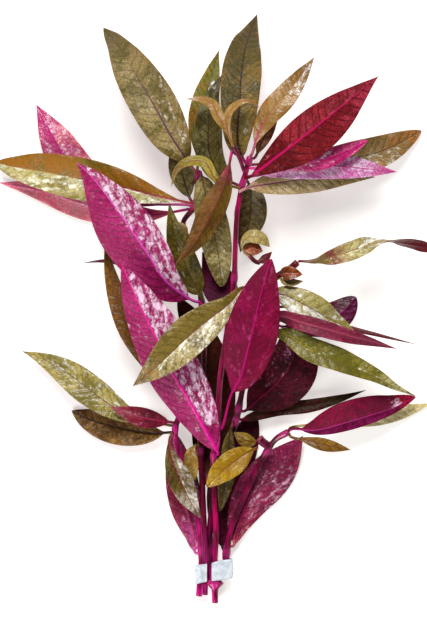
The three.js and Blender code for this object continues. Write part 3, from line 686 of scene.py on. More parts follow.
OLIVE_BACK = leaf_face(
    "olive_back", blade=(118, 112, 48), blotch=(92, 96, 34), vein=(70, 64, 24, 0.5), net=0.3,
    midrib=(150, 60, 80, 0.5),
)
PINK_BACK = leaf_face(
    "pink_back", blade=(150, 30, 84), blotch=(116, 16, 62), vein=(84, 8, 44, 0.5), net=0.3,
    midrib=(216, 30, 150, 0.6),
)


def grow_leaf(slot, back, under, node, stem, midrib, look, **shape):
    """One leaf, in place of its solid. under says that its magenta side is the one that shows."""
    seed = sum(ord(letter) for letter in node)
    blade = leaf_shape(midrib, stem=stem, under=under, seed=seed, **shape)
    put_together(f"{node}_blade", node, slot, [(blade, leaf_face(f"{node}_face", **look), back)])


# What the leaves of one colour share: the finish of their back and which side shows.
olive_leaf = partial(grow_leaf, "olive_leaf", PINK_BACK, False)
bronze_leaf = partial(grow_leaf, "bronze_leaf", PINK_BACK, False)
yellow_leaf = partial(grow_leaf, "yellow_leaf", OLIVE_BACK, False)
magenta_leaf = partial(grow_leaf, "magenta_leaf", OLIVE_BACK, True)
crimson_leaf = partial(grow_leaf, "crimson_leaf", OLIVE_BACK, True)
plum_leaf = partial(grow_leaf, "plum_leaf", OLIVE_BACK, True)


# The large olive leaves of the crown, wet side up. The biggest leans left and is grey at its tip, the
# tallest is brown at its tip, and the rest stand behind or droop to the right and down the stem.
OLIVE = dict(
    blade=(142, 126, 78), blotch=(94, 84, 26), vein=(66, 56, 16), net=0.3, rim=(140, 104, 44, 0.6),
    midrib=(84, 50, 50, 0.42), foot=(150, 20, 80, 0.05), coat=0.16, relief=1.6,
)
# SHADED is the olive finish darkened with painted shade, for leaves seen in the shade of others; some
# of them change its colours.
SHADED = dict(
    blade=(96, 82, 30), blotch=(60, 54, 10), vein=(38, 32, 4, 0.5), net=0.4, midrib=(50, 32, 14),
    foot=(110, 14, 50, 0.05), rough=0.45, coat=0.15,
)
# The pale colour of the painted glare on the wet olive leaves.
PAINTED_GLARE_WHITE = (228, 220, 200)
olive_leaf(
    "crown_leaf_big_left", "stem_left",
    [[-9.6, 56.5, 19], [-17.6, 68.2, 24], [-25.2, 81.8, 25], [-32, 93, 20], [-38.8, 104.2, 10],
     [-45.2, 112.6, 0.7]],
    dict(OLIVE, blade=(172, 152, 100), blotch=(88, 76, 6), tip=(104, 86, 60, 0.8),
         foot=(130, 60, 60, 0.08), right=(132, 102, 52, 0.5), midrib=(90, 56, 66, 0.5, 0.6),
         glare=(*PAINTED_GLARE_WHITE, 0.2, 0.4), span=(0.15, 0.5), cover=0.47),
    wide=18.6, fold=7, belly=0.38, foot=0.8, tip=0.8,
)
olive_leaf(
    "crown_leaf_tall", "stem_crown",
    [[12, 57.5, 27], [8.8, 65.4, 28], [9.2, 79.4, 29], [10, 91.4, 26], [11.6, 103.4, 17],
     [14.4, 112.2, 7], [16.4, 118.1, 0.7]],
    dict(OLIVE, blade=(128, 102, 38), blotch=(66, 60, 2), tip=(78, 54, 10, 0.7),
         rim=(142, 100, 26, 0.7), left=(132, 98, 52, 0.5), midrib=(44, 20, 12, 0.55),
         glare=(*PAINTED_GLARE_WHITE, 0.05, 0.25), span=(0.1, 0.5)),
    wide=16, fold=6, belly=0.46, stalk=0.05, foot=0.52,
)
bronze_leaf(
    "crown_leaf_ochre", "stem_left",
    [[-7.4, 55.2, 16], [-6.8, 71.4, 17], [-4.4, 83.4, 18], [-1.6, 93.4, 16.5], [1.2, 103.4, 12]],
    dict(OLIVE, blade=(150, 112, 38), blotch=(112, 116, 24), foot=(96, 98, 30, 0.35),
         rim=(182, 134, 40, 0.8), right=(130, 126, 62, 0.6), midrib=(72, 62, 22, 0.35),
         glare=(240, 240, 236, 0.0, 0.75), span=(0.45, 0.72)),
    wide=10.4,
)
olive_leaf(
    "crown_leaf_dark", "stem_crown",
    [[8, 49.5, 23], [1.6, 53.6, 22.5], [-2.6, 62, 23], [-3, 73.4, 24], [-1.6, 84, 23], [2.4, 93.4, 20]],
    dict(SHADED, left=(124, 122, 80, 0.45), rim=(130, 124, 70, 0.35), glare=(*PAINTED_GLARE_WHITE, 0.3, 0.1),
         span=(0.7, 0.95)),
    wide=11.4, fold=5, stalk=0.04, foot=0.5,
)
olive_leaf(
    "crown_leaf_right", "stem_crown",
    [[13.6, 57.5, 23.4], [20, 57.8, 18.5], [30, 58, 15.5], [60.8, 61.4, 10.5], [71.6, 65.4, 6.5],
     [82.4, 71.4, 0.7]],
    dict(OLIVE, blade=(192, 164, 118), blotch=(146, 116, 58), tip=(176, 104, 40, 0.74),
         rim=(176, 110, 46, 0.6), glare=(*PAINTED_GLARE_WHITE, 0.2, 0.5), span=(0.4, 0.9)),
    wide=13.4, belly=0.6, tip=0.75,
)
# Its colours are painted lighter than the leaf's own, as painted light against the shade of the pink
# leaf over it.
olive_leaf(
    "crown_leaf_level", "stem_crown",
    [[9.2, 46.6, 26], [13, 48.2, 25.4], [19.6, 49.4, 22.8], [33.6, 51.4, 19], [50, 52.6, 15.6],
     [64, 52.6, 12]],
    dict(OLIVE, blade=(236, 210, 166), blotch=(190, 162, 106), vein=(120, 96, 50),
         rim=(190, 160, 110, 0.5), tip=(210, 186, 140, 0.6), midrib=(140, 70, 110, 0.36),
         foot=(190, 130, 130, 0.16), glare=(*PAINTED_GLARE_WHITE, 0.2, 0.3)),
    wide=11.4, fold=10, foot=0.7,
)
olive_leaf(
    "crown_leaf_shadow", "stem_crown",
    [[12.4, 51, 22], [14, 46.4, 17.5], [13.8, 38, 14.5], [12, 30, 12.5], [9.6, 22.4, 11.5]],
    dict(SHADED, blade=(124, 104, 58), blotch=(72, 56, 22)),
    wide=13, foot=0.75,
)
olive_leaf(
    "crown_leaf_small", "stem_crown",
    [[14.8, 60, 24], [19, 68, 25.5], [25.2, 77.8, 26]],
    dict(SHADED, blade=(150, 84, 50), blotch=(96, 44, 22)),
    wide=5.6,
)
olive_leaf(
    "crown_leaf_behind", "stem_left",
    [[-10, 43, 12.6], [-12.8, 51.4, 12], [-14.6, 60, 13], [-14.4, 69.4, 14]],
    dict(SHADED, blade=(124, 112, 64), blotch=(70, 62, 22)),
    wide=10, foot=0.8, tip=0.8,
)
olive_leaf(
    "crown_leaf_hanging", "stem_left",
    [[-6.4, 55, 18], [-5.4, 51.6, 20.4], [-3.6, 43.4, 22], [-0.4, 29, 21.5], [1.4, 18, 19.5],
     [2.4, 8.6, 17]],
    dict(OLIVE, blade=(150, 130, 70), blotch=(98, 82, 26), tip=(178, 164, 110, 0.66),
         midrib=(84, 60, 26), rim=(150, 126, 64, 0.5), glare=(*PAINTED_GLARE_WHITE, 0.3, 0.3),
         span=(0.6, 0.95)),
    wide=12.8, fold=7, belly=0.46, foot=0.5, tip=0.55,
)


# The slim tan leaf that arches up at the right of the crown: thin and pale, with a pink vein at its
# foot and a patch of painted white glare from its wet skin before its orange tip.
grow_leaf(
    "yellow_leaf", PINK_BACK, False, "crown_leaf_slim", "stem_crown",
    [[14.6, 62, 27.4], [17, 70, 31], [21.2, 77.4, 33], [27.4, 84.2, 33], [34.2, 93, 29],
     [39.2, 100.2, 23]],
    dict(blade=(172, 134, 78), blotch=(132, 96, 34), vein=(116, 80, 30), net=0.25,
         rim=(166, 98, 30, 0.75), midrib=(170, 40, 90, 0.5, 0.3), tip=(186, 150, 110, 0.95),
         glare=(246, 244, 244, 0.34, 0.6), span=(0.62, 0.94), rough=0.34, coat=0.4),
    wide=9.8, roll=(0, 10),
)


# The three crown leaves that lie with their undersides up: a matte crimson one with dark veins, a hot
# pink midrib and a faint painted pink sheen, and below it two violet-pink ones with painted white sheen
# all over.
HOT_PINK = (206, 14, 128)
# The pink white of the painted sheen on the wet pink leaves.
PAINTED_SHEEN_PINK = (244, 214, 236)
crimson_leaf(
    "crown_leaf_crimson", "stem_crown",
    [[12.8, 52, 26], [25.6, 61.4, 33], [37.6, 70.6, 36.5], [49.6, 80.2, 36], [58, 87.2, 33],
     [64.8, 92.6, 29.5]],
    dict(blade=(156, 36, 42), blotch=(116, 18, 26), vein=(66, 0, 12, 0.8), net=0.5,
         left=(180, 50, 66, 0.5), right=(132, 20, 36, 0.35), tip=(186, 56, 78, 0.7),
         foot=(90, 8, 10, 0.36), midrib=(186, 8, 88, 0.6, 0.85), glare=(180, 74, 88, 0.36, 0.3),
         rough=0.6, coat=0.0),
    wide=18.2, quilt=0.1, fold=-7, lean=0.14, tip=1.15, belly=0.48, foot=1.1, stalk=0.02,
)
magenta_leaf(
    "crown_leaf_tucked_pink", "stem_crown",
    [[14, 56, 25], [28, 58, 29], [42.4, 59.4, 30.5], [52, 63, 28.5], [60.4, 67, 26]],
    dict(blade=(206, 46, 124), blotch=(172, 14, 92), vein=(130, 4, 70, 0.5), midrib=HOT_PINK,
         glare=(*PAINTED_SHEEN_PINK, 0.5, 0.4), span=(0.0, 0.66), rough=0.4),
    wide=8.4, fold=-6, tip=0.6,
)
# Its colours are painted lighter than the leaf's own, as painted light against the shade of the crimson
# leaf over it.
magenta_leaf(
    "crown_leaf_pink", "stem_crown",
    [[13.4, 52.6, 22.6], [27.6, 55, 25.5], [43.6, 56.8, 25], [53.6, 56.4, 23], [63.6, 55.4, 20],
     [72.4, 54.6, 16]],
    dict(blade=(248, 170, 224), blotch=(220, 100, 180), vein=(150, 30, 106, 0.5), net=0.5,
         midrib=(190, 30, 130, 0.5), tip=(196, 16, 90, 0.9), glare=(250, 222, 246, 0.62, 0.56),
         span=(0.1, 0.88), rough=0.34, coat=0.4),
    wide=10.4, fold=-8, belly=0.5, foot=0.8,
)


# Young leaves of the crown: one folded lengthwise and hanging down the middle, one curled over like a
# yellow hook, and the youngest pair, still joined at the foot, arching up over the rest.
grow_leaf(
    "olive_leaf", PINK_BACK, True, "crown_leaf_folded", None,
    [[6.4, 62.6, 30.5], [3.2, 48.6, 31.5], [-2.8, 35.8, 31], [-8.4, 26.2, 27.5], [-16.4, 17, 22]],
    dict(blade=(112, 76, 26), blotch=(84, 52, 14), left=(100, 80, 14, 0.7), right=(126, 80, 40, 0.7),
         vein=(80, 50, 14), midrib=(110, 44, 40, 0.35), foot=(196, 20, 110, 0.2), rim=(150, 112, 56),
         rough=0.5, coat=0.1),
    wide=10.4, fold=-24, roll=(12, 4),
)
yellow_leaf(
    "crown_leaf_curled", "stem_crown",
    [[8.4, 48.2, 25.2], [0.4, 51, 28], [-4.4, 58, 28.5], [-10.8, 58.6, 26.5], [-15.6, 55.4, 24.5],
     [-18, 48.2, 22]],
    dict(blade=(170, 150, 56), blotch=(140, 122, 34), vein=(110, 90, 20), midrib=(120, 60, 40, 0.3),
         tip=(110, 56, 40, 0.68), rough=0.4),
    wide=4.4,
)
YOUNG_FACE = leaf_face(
    "young_face", blade=(168, 130, 66), blotch=(146, 104, 40), vein=(116, 80, 30, 0.3),
    midrib=(150, 80, 50, 0.3), tip=(216, 190, 176, 0.9), rough=0.4,
)
young_blades = [
    leaf_shape(
        [[6.9, 64.2, 31.3], [4.6, 71, 34], [1, 76.6, 36], [-1.6, 81.2, 36], [-6.4, 83.2, 34],
         [-12.4, 83.4, 32]],
        wide=4.6, fold=14, ripple=0.2,
    ),
    leaf_shape(
        [[6.8, 64.2, 31.3], [4.6, 71.5, 34.5], [5.2, 78, 37], [10, 82, 38.4], [14, 82.2, 38],
         [17.6, 79.6, 36.5]],
        wide=3.2, fold=10, ripple=0.2,
    ),
]
young_stalk = tube([[11.2, 54.6, 26.6], [9.4, 59.6, 29.6], [6.8, 64.6, 31.4]], radius=0.8)
stalk_skin = wet_skins["stem_low_right"]
put_together(
    "crown_young_pair_blades", "crown_young_pair", "yellow_leaf",
    [(young_stalk, stalk_skin, stalk_skin)]
    + [(blade, YOUNG_FACE, PINK_BACK) for blade in young_blades],
)


# The long leaves at the left: a bronze one with a pale green lower half that carries painted wet glare,
# two coral pink ones under it, a brown one in the shade of the middle, and one rolled up as thin as a
# thread.
bronze_leaf(
    "left_leaf_bronze", "stem_left",
    [[-10, 42, 15], [-22.4, 44.6, 16.5], [-38, 48.6, 17], [-56.4, 52.2, 14], [-70, 55, 10],
     [-82.4, 57, 6], [-88, 58.6, 4]],
    dict(blade=(156, 100, 20), blotch=(112, 96, 12), left=(194, 180, 108, 1.0),
         right=(160, 98, 14, 1.0), vein=(104, 84, 14, 0.25), net=0.15, midrib=(150, 30, 60, 0.45, 0.5),
         rim=(116, 80, 14), cover=0.44, glare=(244, 240, 212, 0.6, 0.0)),
    wide=17, fold=14, belly=0.54, foot=0.9, tip=0.62, stalk=0.04,
)
magenta_leaf(
    "left_leaf_pink", "stem_left",
    [[-10.2, 41, 12.8], [-28, 42, 10], [-46.4, 47.4, 8.5], [-57, 56, 8], [-65.6, 70, 6.5],
     [-72, 81.8, 3]],
    dict(blade=(206, 84, 130), blotch=(180, 40, 110), left=(178, 30, 116, 0.6),
         right=(220, 116, 116, 0.6), rim=(222, 110, 100, 0.5), vein=(160, 30, 90), net=0.3,
         midrib=(190, 50, 140), tip=(190, 30, 100, 0.9), glare=(*PAINTED_SHEEN_PINK, 0.35, 0.42),
         span=(0.2, 0.92), rough=0.36, coat=0.4),
    wide=16, fold=-6, belly=0.62,
)
# Its colours are painted lighter than the leaf's own, as painted light against the shade of the bronze
# leaf over it.
magenta_leaf(
    "left_leaf_coral", "stem_left",
    [[-9.6, 39.8, 12], [-28.4, 37.4, 7], [-50.4, 41.4, 3], [-70.4, 47.4, 1.8], [-87.2, 50.6, 0.8]],
    dict(blade=(255, 158, 172), blotch=(252, 116, 140), vein=(210, 70, 110, 0.3), net=0.3,
         rim=(255, 166, 156), midrib=(214, 40, 140), foot=(200, 50, 160, 0.45),
         glare=(*PAINTED_SHEEN_PINK, 0.3, 0.3), span=(0.3, 0.7), rough=0.36),
    wide=13, fold=-4, belly=0.5,
)
bronze_leaf(
    "left_leaf_shaded", "stem_low_left",
    [[-15.4, -41.6, 11], [-18.6, -34, 12.6], [-26, -22, 13.5], [-35.2, -6.6, 13.5], [-41.6, 11.4, 12],
     [-44.8, 28.2, 10]],
    dict(blade=(140, 88, 26), blotch=(98, 58, 10), vein=(64, 36, 6), right=(88, 48, 10, 0.5),
         midrib=(90, 50, 24), rim=(146, 112, 44), coat=0.2),
    wide=9.6,
)
plum_leaf(
    "left_leaf_thread", "stem_left",
    [[-10.6, 18, 9.4], [-26, 16, 6.5], [-43.6, 19, 5], [-54.4, 18.2, 4]],
    dict(blade=(120, 40, 70), blotch=(90, 24, 50), vein=(70, 10, 40, 0.3), rough=0.4),
    wide=2.6,
)


# The two big magenta leaves of the middle, undersides up. Each is folded along its hot pink midrib,
# so that one half is matte with fine dark veins and the other, tilted towards the big light, is painted
# a lighter pink with painted white glare where the wet skin is quilted.
MAGENTA = dict(
    blade=(196, 36, 122), blotch=(156, 8, 84), vein=(108, 0, 58, 0.7), net=0.5,
    midrib=(226, 70, 190, 0.5), rough=0.44, coat=0.18, relief=1.5,
)
magenta_leaf(
    "centre_leaf_magenta", "stem_left",
    [[-7.4, 2.8, 11.2], [-13, 5.4, 14.6], [-20.8, 11.8, 19.5], [-26.4, 20.6, 22], [-34.4, 32.2, 24],
     [-42.4, 43.4, 24], [-50.4, 53.4, 22], [-55.6, 58.2, 20.5]],
    dict(MAGENTA, left=(180, 34, 110, 0.7), right=(214, 84, 160, 0.35), tip=(170, 6, 88, 0.9),
         rim=(190, 40, 90), glare=(250, 214, 238, 0.16, 0.64), span=(0.03, 0.92)),
    wide=22.8, quilt=0.2, fold=-14, lean=-0.17, belly=0.5, foot=0.62, stalk=0.05,
)
magenta_leaf(
    "centre_leaf_long", "stem_crown",
    [[1, -58.4, 10.6], [-4, -49, 15.5], [-10.8, -36.6, 20], [-17.6, -25, 23.5], [-25, -9.4, 27.5],
     [-30.8, 2.2, 29], [-35.2, 12.2, 29.5], [-37.6, 17.8, 29]],
    dict(MAGENTA, left=(184, 26, 110, 0.5), right=(216, 96, 166, 0.35), midrib=(226, 6, 146, 0.9),
         glare=(250, 212, 236, 0.28, 0.68), span=(0.1, 0.97)),
    wide=21.6, quilt=0.2, fold=-13, lean=0.08, belly=0.5, foot=0.62, tip=0.8, stalk=0.02,
)


# The striped leaf that lies across the middle, olive side up: its upper half is dark and its lower
# half cream, partly its own pale colour and partly painted glare of its wet skin, with a thin brown
# midrib between them.
olive_leaf(
    "centre_leaf_striped", "stem_right",
    [[17.2, 8.4, 18.4], [10.4, 8, 25], [5.6, 2.2, 28.5], [-2, -3.8, 31], [-10.4, -10.6, 32],
     [-20, -19.8, 32], [-27, -26, 30], [-33.2, -31, 27]],
    dict(blade=(138, 114, 46), blotch=(98, 82, 20), left=(204, 184, 122, 0.85), right=(120, 100, 32),
         vein=(80, 66, 12, 0.5), net=0.2, midrib=(104, 46, 30, 0.42), tip=(164, 120, 60, 0.86),
         rim=(166, 140, 74, 0.6), glare=(244, 236, 210, 0.54, 0.1), span=(0.0, 0.9), rough=0.38,
         coat=0.4),
    wide=16, fold=12, belly=0.54,
)


# The topmost leaf, underside up: a broad matte magenta blade with a pink midrib and soft patches of
# painted pink sheen, which lies over all the others at the right of the middle.
crimson_leaf(
    "centre_leaf_top", "stem_crown",
    [[1.6, -48, 12], [6, -34.6, 22], [9.6, -27.8, 28], [12.8, -15.8, 34.5], [14.8, -7.4, 37.5],
     [16.8, 1.4, 39], [18.8, 9.4, 38.5], [22, 19.8, 35.5]],
    dict(blade=(142, 0, 66), blotch=(104, 0, 42), vein=(92, 0, 34), net=0.2, left=(142, 0, 76),
         right=(152, 4, 54), midrib=(170, 4, 96, 0.6), rim=(140, 30, 60, 0.35),
         glare=(172, 46, 100, 0.4, 0.44), rough=0.6, coat=0.0, relief=0.7),
    wide=20.8, quilt=0.1, fold=-8, belly=0.46, stalk=0.24, foot=0.75, tip=0.75,
)


# The leaves in the gaps of the middle: a green one, the tip of a tan one, a dark purple one and a
# nearly black one low under the stems, which are seen only between the others. The dark colours of the
# last two are partly their own and partly painted shade of the deep gaps they fill.
olive_leaf(
    "centre_leaf_green", "stem_left",
    [[-5.4, 3.4, 11.6], [-9.6, 11.6, 13.6], [-13.8, 21.4, 15.2], [-17.2, 33.4, 18],
     [-18.8, 42.6, 20.5]],
    dict(blade=(114, 96, 26), blotch=(64, 54, 6), vein=(52, 46, 6), net=0.2, midrib=(70, 60, 14, 0.35),
         rim=(130, 112, 46), glare=(*PAINTED_GLARE_WHITE, 0.15, 0.15), coat=0.2),
    wide=11.2, belly=0.34, foot=0.7,
)
yellow_leaf(
    "centre_leaf_tan", "stem_left",
    [[-11, 29.4, 14], [-13, 31.6, 15.2], [-17.4, 34.6, 14.6]],
    dict(blade=(160, 130, 76), blotch=(130, 104, 50), vein=(100, 80, 40, 0.3)),
    wide=4,
)
plum_leaf(
    "centre_leaf_purple", "stem_crown",
    [[3.6, -4.6, 16.4], [2.8, 4, 13.2], [-0.6, 14, 12], [-5.6, 22.8, 11.5]],
    dict(blade=(96, 4, 56), blotch=(66, 0, 36), vein=(40, 0, 22), rough=0.5, coat=0.0),
    wide=14, foot=0.7,
)
olive_leaf(
    "centre_leaf_hidden", "stem_left",
    [[-3.8, -70, 3.4], [-3, -62, 2.8], [-1.6, -46, 2.8], [-1.6, -28, 2.8], [-6.4, -12, 3.2],
     [-15, 4, 4]],
    dict(SHADED, blade=(92, 22, 26), blotch=(48, 6, 10), coat=0.0),
    wide=18, fold=-4, stalk=0.02, foot=0.6, tip=0.6,
)


# The two young side shoots at the right. Each is a short pink stalk with small leaves round it, tan
# and orange brown, grown as one piece, and a dark red leaflet that stands up like an arrow head.
ORANGE_FACE = leaf_face(
    "orange_leaflet", blade=(166, 84, 30), blotch=(112, 48, 12), vein=(84, 20, 10, 0.5),
    midrib=(206, 110, 90), rim=(120, 60, 20), rough=0.36, coat=0.5,
)
TAN_FACE = leaf_face(
    "tan_leaflet", blade=(176, 158, 96), blotch=(146, 124, 60), vein=(120, 98, 44),
    midrib=(130, 96, 50, 0.3),
)
RED_FACE = leaf_face(
    "red_leaflet", blade=(120, 26, 40), blotch=(92, 16, 26), vein=(60, 8, 16), rough=0.4,
)
put_together(
    "right_young_shoot_leaves", "right_young_shoot", "bronze_leaf",
    [
        (tube(
            [[17.4, 18.2, 19.4], [15.6, 18.8, 20.4], [13.4, 21, 22.2]], radius=0.9,
        ), RED_FACE, RED_FACE),
        (leaf_shape(
            [[13.6, 20.8, 22], [10.4, 24, 24.4], [11.2, 27, 26.6], [14.2, 28.8, 28], [17.8, 28, 28],
             [21.4, 24.6, 26.6]],
            wide=5.6, fold=-14, belly=0.62, foot=1.6, tip=0.8, ripple=0.3,
        ), TAN_FACE, ORANGE_FACE),
        (leaf_shape(
            [[13.8, 20.6, 21.8], [11.6, 22.4, 23], [14.4, 23.8, 24.2], [18.8, 22.8, 24.2]],
            wide=5.6, fold=-14, belly=0.6, ripple=0.3,
        ), ORANGE_FACE, RED_FACE),
        (leaf_shape(
            [[15.8, 18.6, 20.2], [18.8, 19.4, 21.6], [22.4, 22.6, 23.4]], wide=3.4,
        ), RED_FACE, RED_FACE),
    ],
)
put_together(
    "right_side_shoot_leaves", "right_side_shoot", "bronze_leaf",
    [
        (tube(
            [[20.8, 10.6, 18.6], [25, 13.2, 20], [29.6, 16, 21.6], [32.4, 18.4, 22.6]], radius=1.4,
        ), RED_FACE, RED_FACE),
        (leaf_shape(
            [[25.4, 13.2, 20.4], [28, 14, 24], [31.4, 14, 25], [34.6, 13.6, 24.2]], wide=5.8, fold=24,
        ), ORANGE_FACE, RED_FACE),
        (leaf_shape(
            [[24.8, 12.6, 20], [27.4, 10.8, 22], [31, 10.4, 22.6], [35, 11, 21.4]], wide=3.4, fold=20,
        ), TAN_FACE, ORANGE_FACE),
    ],
)


# The green leaves at the right, wet side up: one twisted like a ribbon with a red foot and a red tip,
# one painted white with the glare of its wet skin, which lies over a crimson leaf, and a bright green
# one below.
grow_leaf(
    "olive_leaf", RED_FACE, False, "right_leaf_twisted", None,
    [[32.9, 18.85, 22.8], [40, 19.2, 24.6], [51.6, 22.2, 26], [66.8, 26.6, 24.5], [78, 25.5, 21],
     [88, 23.4, 16.5]],
    dict(blade=(196, 184, 122), blotch=(142, 126, 50), vein=(120, 104, 40), foot=(132, 16, 46, 0.34),
         tip=(160, 130, 80, 0.62), midrib=(150, 110, 70, 0.3), glare=(248, 246, 236, 0.6, 0.6),
         span=(0.42, 0.72), rough=0.36, coat=0.4),
    wide=7.8, fold=10, foot=0.5, tip=0.42, stalk=0.01, roll=(-96, 186),
)
olive_leaf(
    "right_leaf_wet", "stem_right",
    [[20.2, 5, 17.4], [26, 5.6, 20.8], [36.8, 0.6, 22.5], [46, -4.6, 20.5], [56.4, -10, 15]],
    dict(blade=(194, 180, 120), blotch=(146, 130, 48), left=(156, 144, 60), right=(212, 200, 150, 0.5),
         vein=(110, 98, 36), midrib=(110, 66, 54, 0.3), rim=(150, 134, 56),
         glare=(248, 244, 236, 0.4, 0.68), span=(0.0, 0.85), rough=0.36, coat=0.4),
    wide=12.2, foot=0.75, fold=7, roll=(10, 18),
)
olive_leaf(
    "right_leaf_green", "stem_right",
    [[16.8, -9.6, 15], [27.6, -11, 19.5], [36.8, -17, 21.8], [49.6, -21.8, 21.5], [62.8, -27, 17.5],
     [71.6, -31.6, 13.5], [80.8, -35.4, 9.5]],
    dict(blade=(150, 138, 52), blotch=(98, 94, 18), right=(120, 108, 22, 0.6), vein=(78, 72, 12),
         net=0.2, midrib=(110, 90, 30, 0.3), tip=(206, 198, 142, 0.8), rim=(156, 140, 66, 0.3),
         glare=(236, 232, 196, 0.3, 0.1), rough=0.38),
    wide=10, lean=-0.22, fold=10, belly=0.35, tip=1.2, roll=(4, 8),
)


# The dark leaves at the right: a crimson one folded shut, a thin one under it, the purple tip of a
# third, and the broad plum ones in the shade of the topmost leaf.
crimson_leaf(
    "right_leaf_crimson", "stem_right",
    [[17.6, -6, 17], [25.6, -3.2, 23.5], [33.6, -5.4, 28], [43, -8, 29.4], [54, -11.2, 27.5],
     [64, -13.8, 23], [72.4, -16.2, 18]],
    dict(blade=(142, 30, 66), blotch=(118, 18, 52), vein=(84, 8, 34, 0.5), net=0.3, left=(150, 40, 70),
         rim=(176, 80, 110, 0.5), midrib=(166, 60, 90), rough=0.5, coat=0.15),
    wide=7, fold=-38, foot=0.7, stalk=0.04, roll=(0, 8),
)
plum_leaf(
    "right_leaf_thin", "stem_right",
    [[18.6, 0, 15.4], [30, 0.6, 16.5], [49.6, -6.8, 15.4], [65.6, -10.8, 13], [81.2, -14.6, 6]],
    dict(blade=(120, 36, 46), blotch=(96, 20, 36), vein=(60, 10, 20), rough=0.45),
    wide=2.2, fold=-30,
)
plum_leaf(
    "right_leaf_purple", "stem_right",
    [[17.4, -4, 13], [30, -8, 12.5], [42, -6, 12.5], [49.6, -2, 12.8], [56, 4.6, 12]],
    dict(blade=(100, 14, 52), blotch=(66, 2, 34), right=(120, 10, 84, 0.7), vein=(44, 0, 22), net=0.2,
         midrib=(140, 20, 100), glare=(160, 110, 160, 0.25, 0.0), coat=0.15),
    wide=12.6, fold=-6, tip=0.6, belly=0.66,
)
plum_leaf(
    "right_leaf_plum", "stem_right",
    [[10.6, -41, 9.6], [17.4, -36, 9], [24.2, -30.2, 8.8], [29.6, -23, 8.8], [31.2, -15, 9],
     [28.6, -6, 8.8]],
    dict(blade=(98, 6, 36), blotch=(48, 0, 12), vein=(26, 0, 8, 0.5), net=0.3,
         midrib=(120, 10, 60, 0.3), glare=(196, 120, 160, 0.4, 0.2), span=(0.3, 0.9), rough=0.45,
         coat=0.1),
    wide=23.4, fold=-5, belly=0.5, foot=0.8, tip=0.75, stalk=0.03,
)
olive_leaf(
    "right_leaf_band", "stem_right",
    [[9.6, -44.4, 8], [25, -40.4, 5.4], [37.6, -39, 4], [50, -36, 3.6], [60.5, -32.6, 3]],
    dict(SHADED, blade=(84, 8, 24), blotch=(50, 4, 10), tip=(74, 58, 12, 0.66), coat=0.05),
    wide=5.6, foot=0.4, stalk=0.02,
)


# The three leaves on the fork at the lower right: a magenta one rolled over its lower half, a pale
# yellow one behind it and a small bronze one.
magenta_leaf(
    "right_leaf_magenta", "stem_low_right",
    [[30.2, -48.6, 14], [40, -48.6, 14.5], [52.8, -45.4, 13.5], [62.8, -42.4, 12], [70.8, -39.8, 10],
     [80, -35.4, 7]],
    dict(blade=(132, 6, 56), blotch=(92, 0, 38), left=(146, 12, 60, 0.5), right=(136, 26, 98, 0.7),
         vein=(72, 0, 30, 0.5), net=0.4, midrib=(160, 40, 110, 0.3), tip=(180, 10, 50, 0.84),
         glare=(240, 200, 226, 0.5, 0.3), span=(0.72, 0.92), rough=0.6, coat=0.0, relief=0.4),
    wide=11.8, fold=-16, lean=-0.42, foot=0.8, tip=0.65,
)
yellow_leaf(
    "right_leaf_pale", "stem_low_right",
    [[29.6, -48, 11.6], [42, -46, 7], [60, -44, 3.6], [73.6, -41.6, 2], [86.8, -38, 0.7]],
    dict(blade=(250, 236, 186), blotch=(216, 198, 132), vein=(170, 150, 90), net=0.2,
         midrib=(190, 166, 110, 0.3), foot=(96, 56, 16, 0.5)),
    wide=7.4, fold=6, belly=0.6,
)
bronze_leaf(
    "right_leaf_small_bronze", "stem_low_right",
    [[29.8, -51, 13.4], [35, -52.4, 15], [43, -54.4, 15], [54, -56.6, 12]],
    dict(blade=(140, 96, 26), blotch=(108, 72, 16), left=(160, 116, 40, 0.5), vein=(80, 50, 10),
         midrib=(100, 60, 20, 0.35), rough=0.4),
    wide=5.2, belly=0.5,
)


# The two young yellow leaves on the thick fork above the tie, olive side up. They are thin and
# ageing, with a brown midrib.
YELLOW = dict(
    blade=(190, 154, 14), blotch=(150, 108, 2), vein=(120, 74, 2, 0.5), net=0.25, rim=(150, 114, 20),
    midrib=(116, 68, 8), glare=(232, 206, 110, 0.3, 0.3), rough=0.44, coat=0.25,
)
yellow_leaf(
    "low_leaf_yellow", None,
    [[16.6, -55.6, 12.2], [12.8, -57.4, 14.5], [7.6, -61, 15.5], [1.6, -65.8, 15.5],
     [-3.6, -71.4, 13.5]],
    dict(YELLOW, foot=(130, 60, 24, 0.08)),
    wide=10.4, foot=1, tip=0.65,
)
yellow_leaf(
    "low_leaf_little_yellow", None,
    [[15.9, -53.4, 11], [12.6, -53, 11.8], [7, -49.4, 12.6]],
    dict(YELLOW, blade=(132, 106, 20), blotch=(98, 74, 8)),
    wide=5.6, stalk=0, foot=0.6,
)


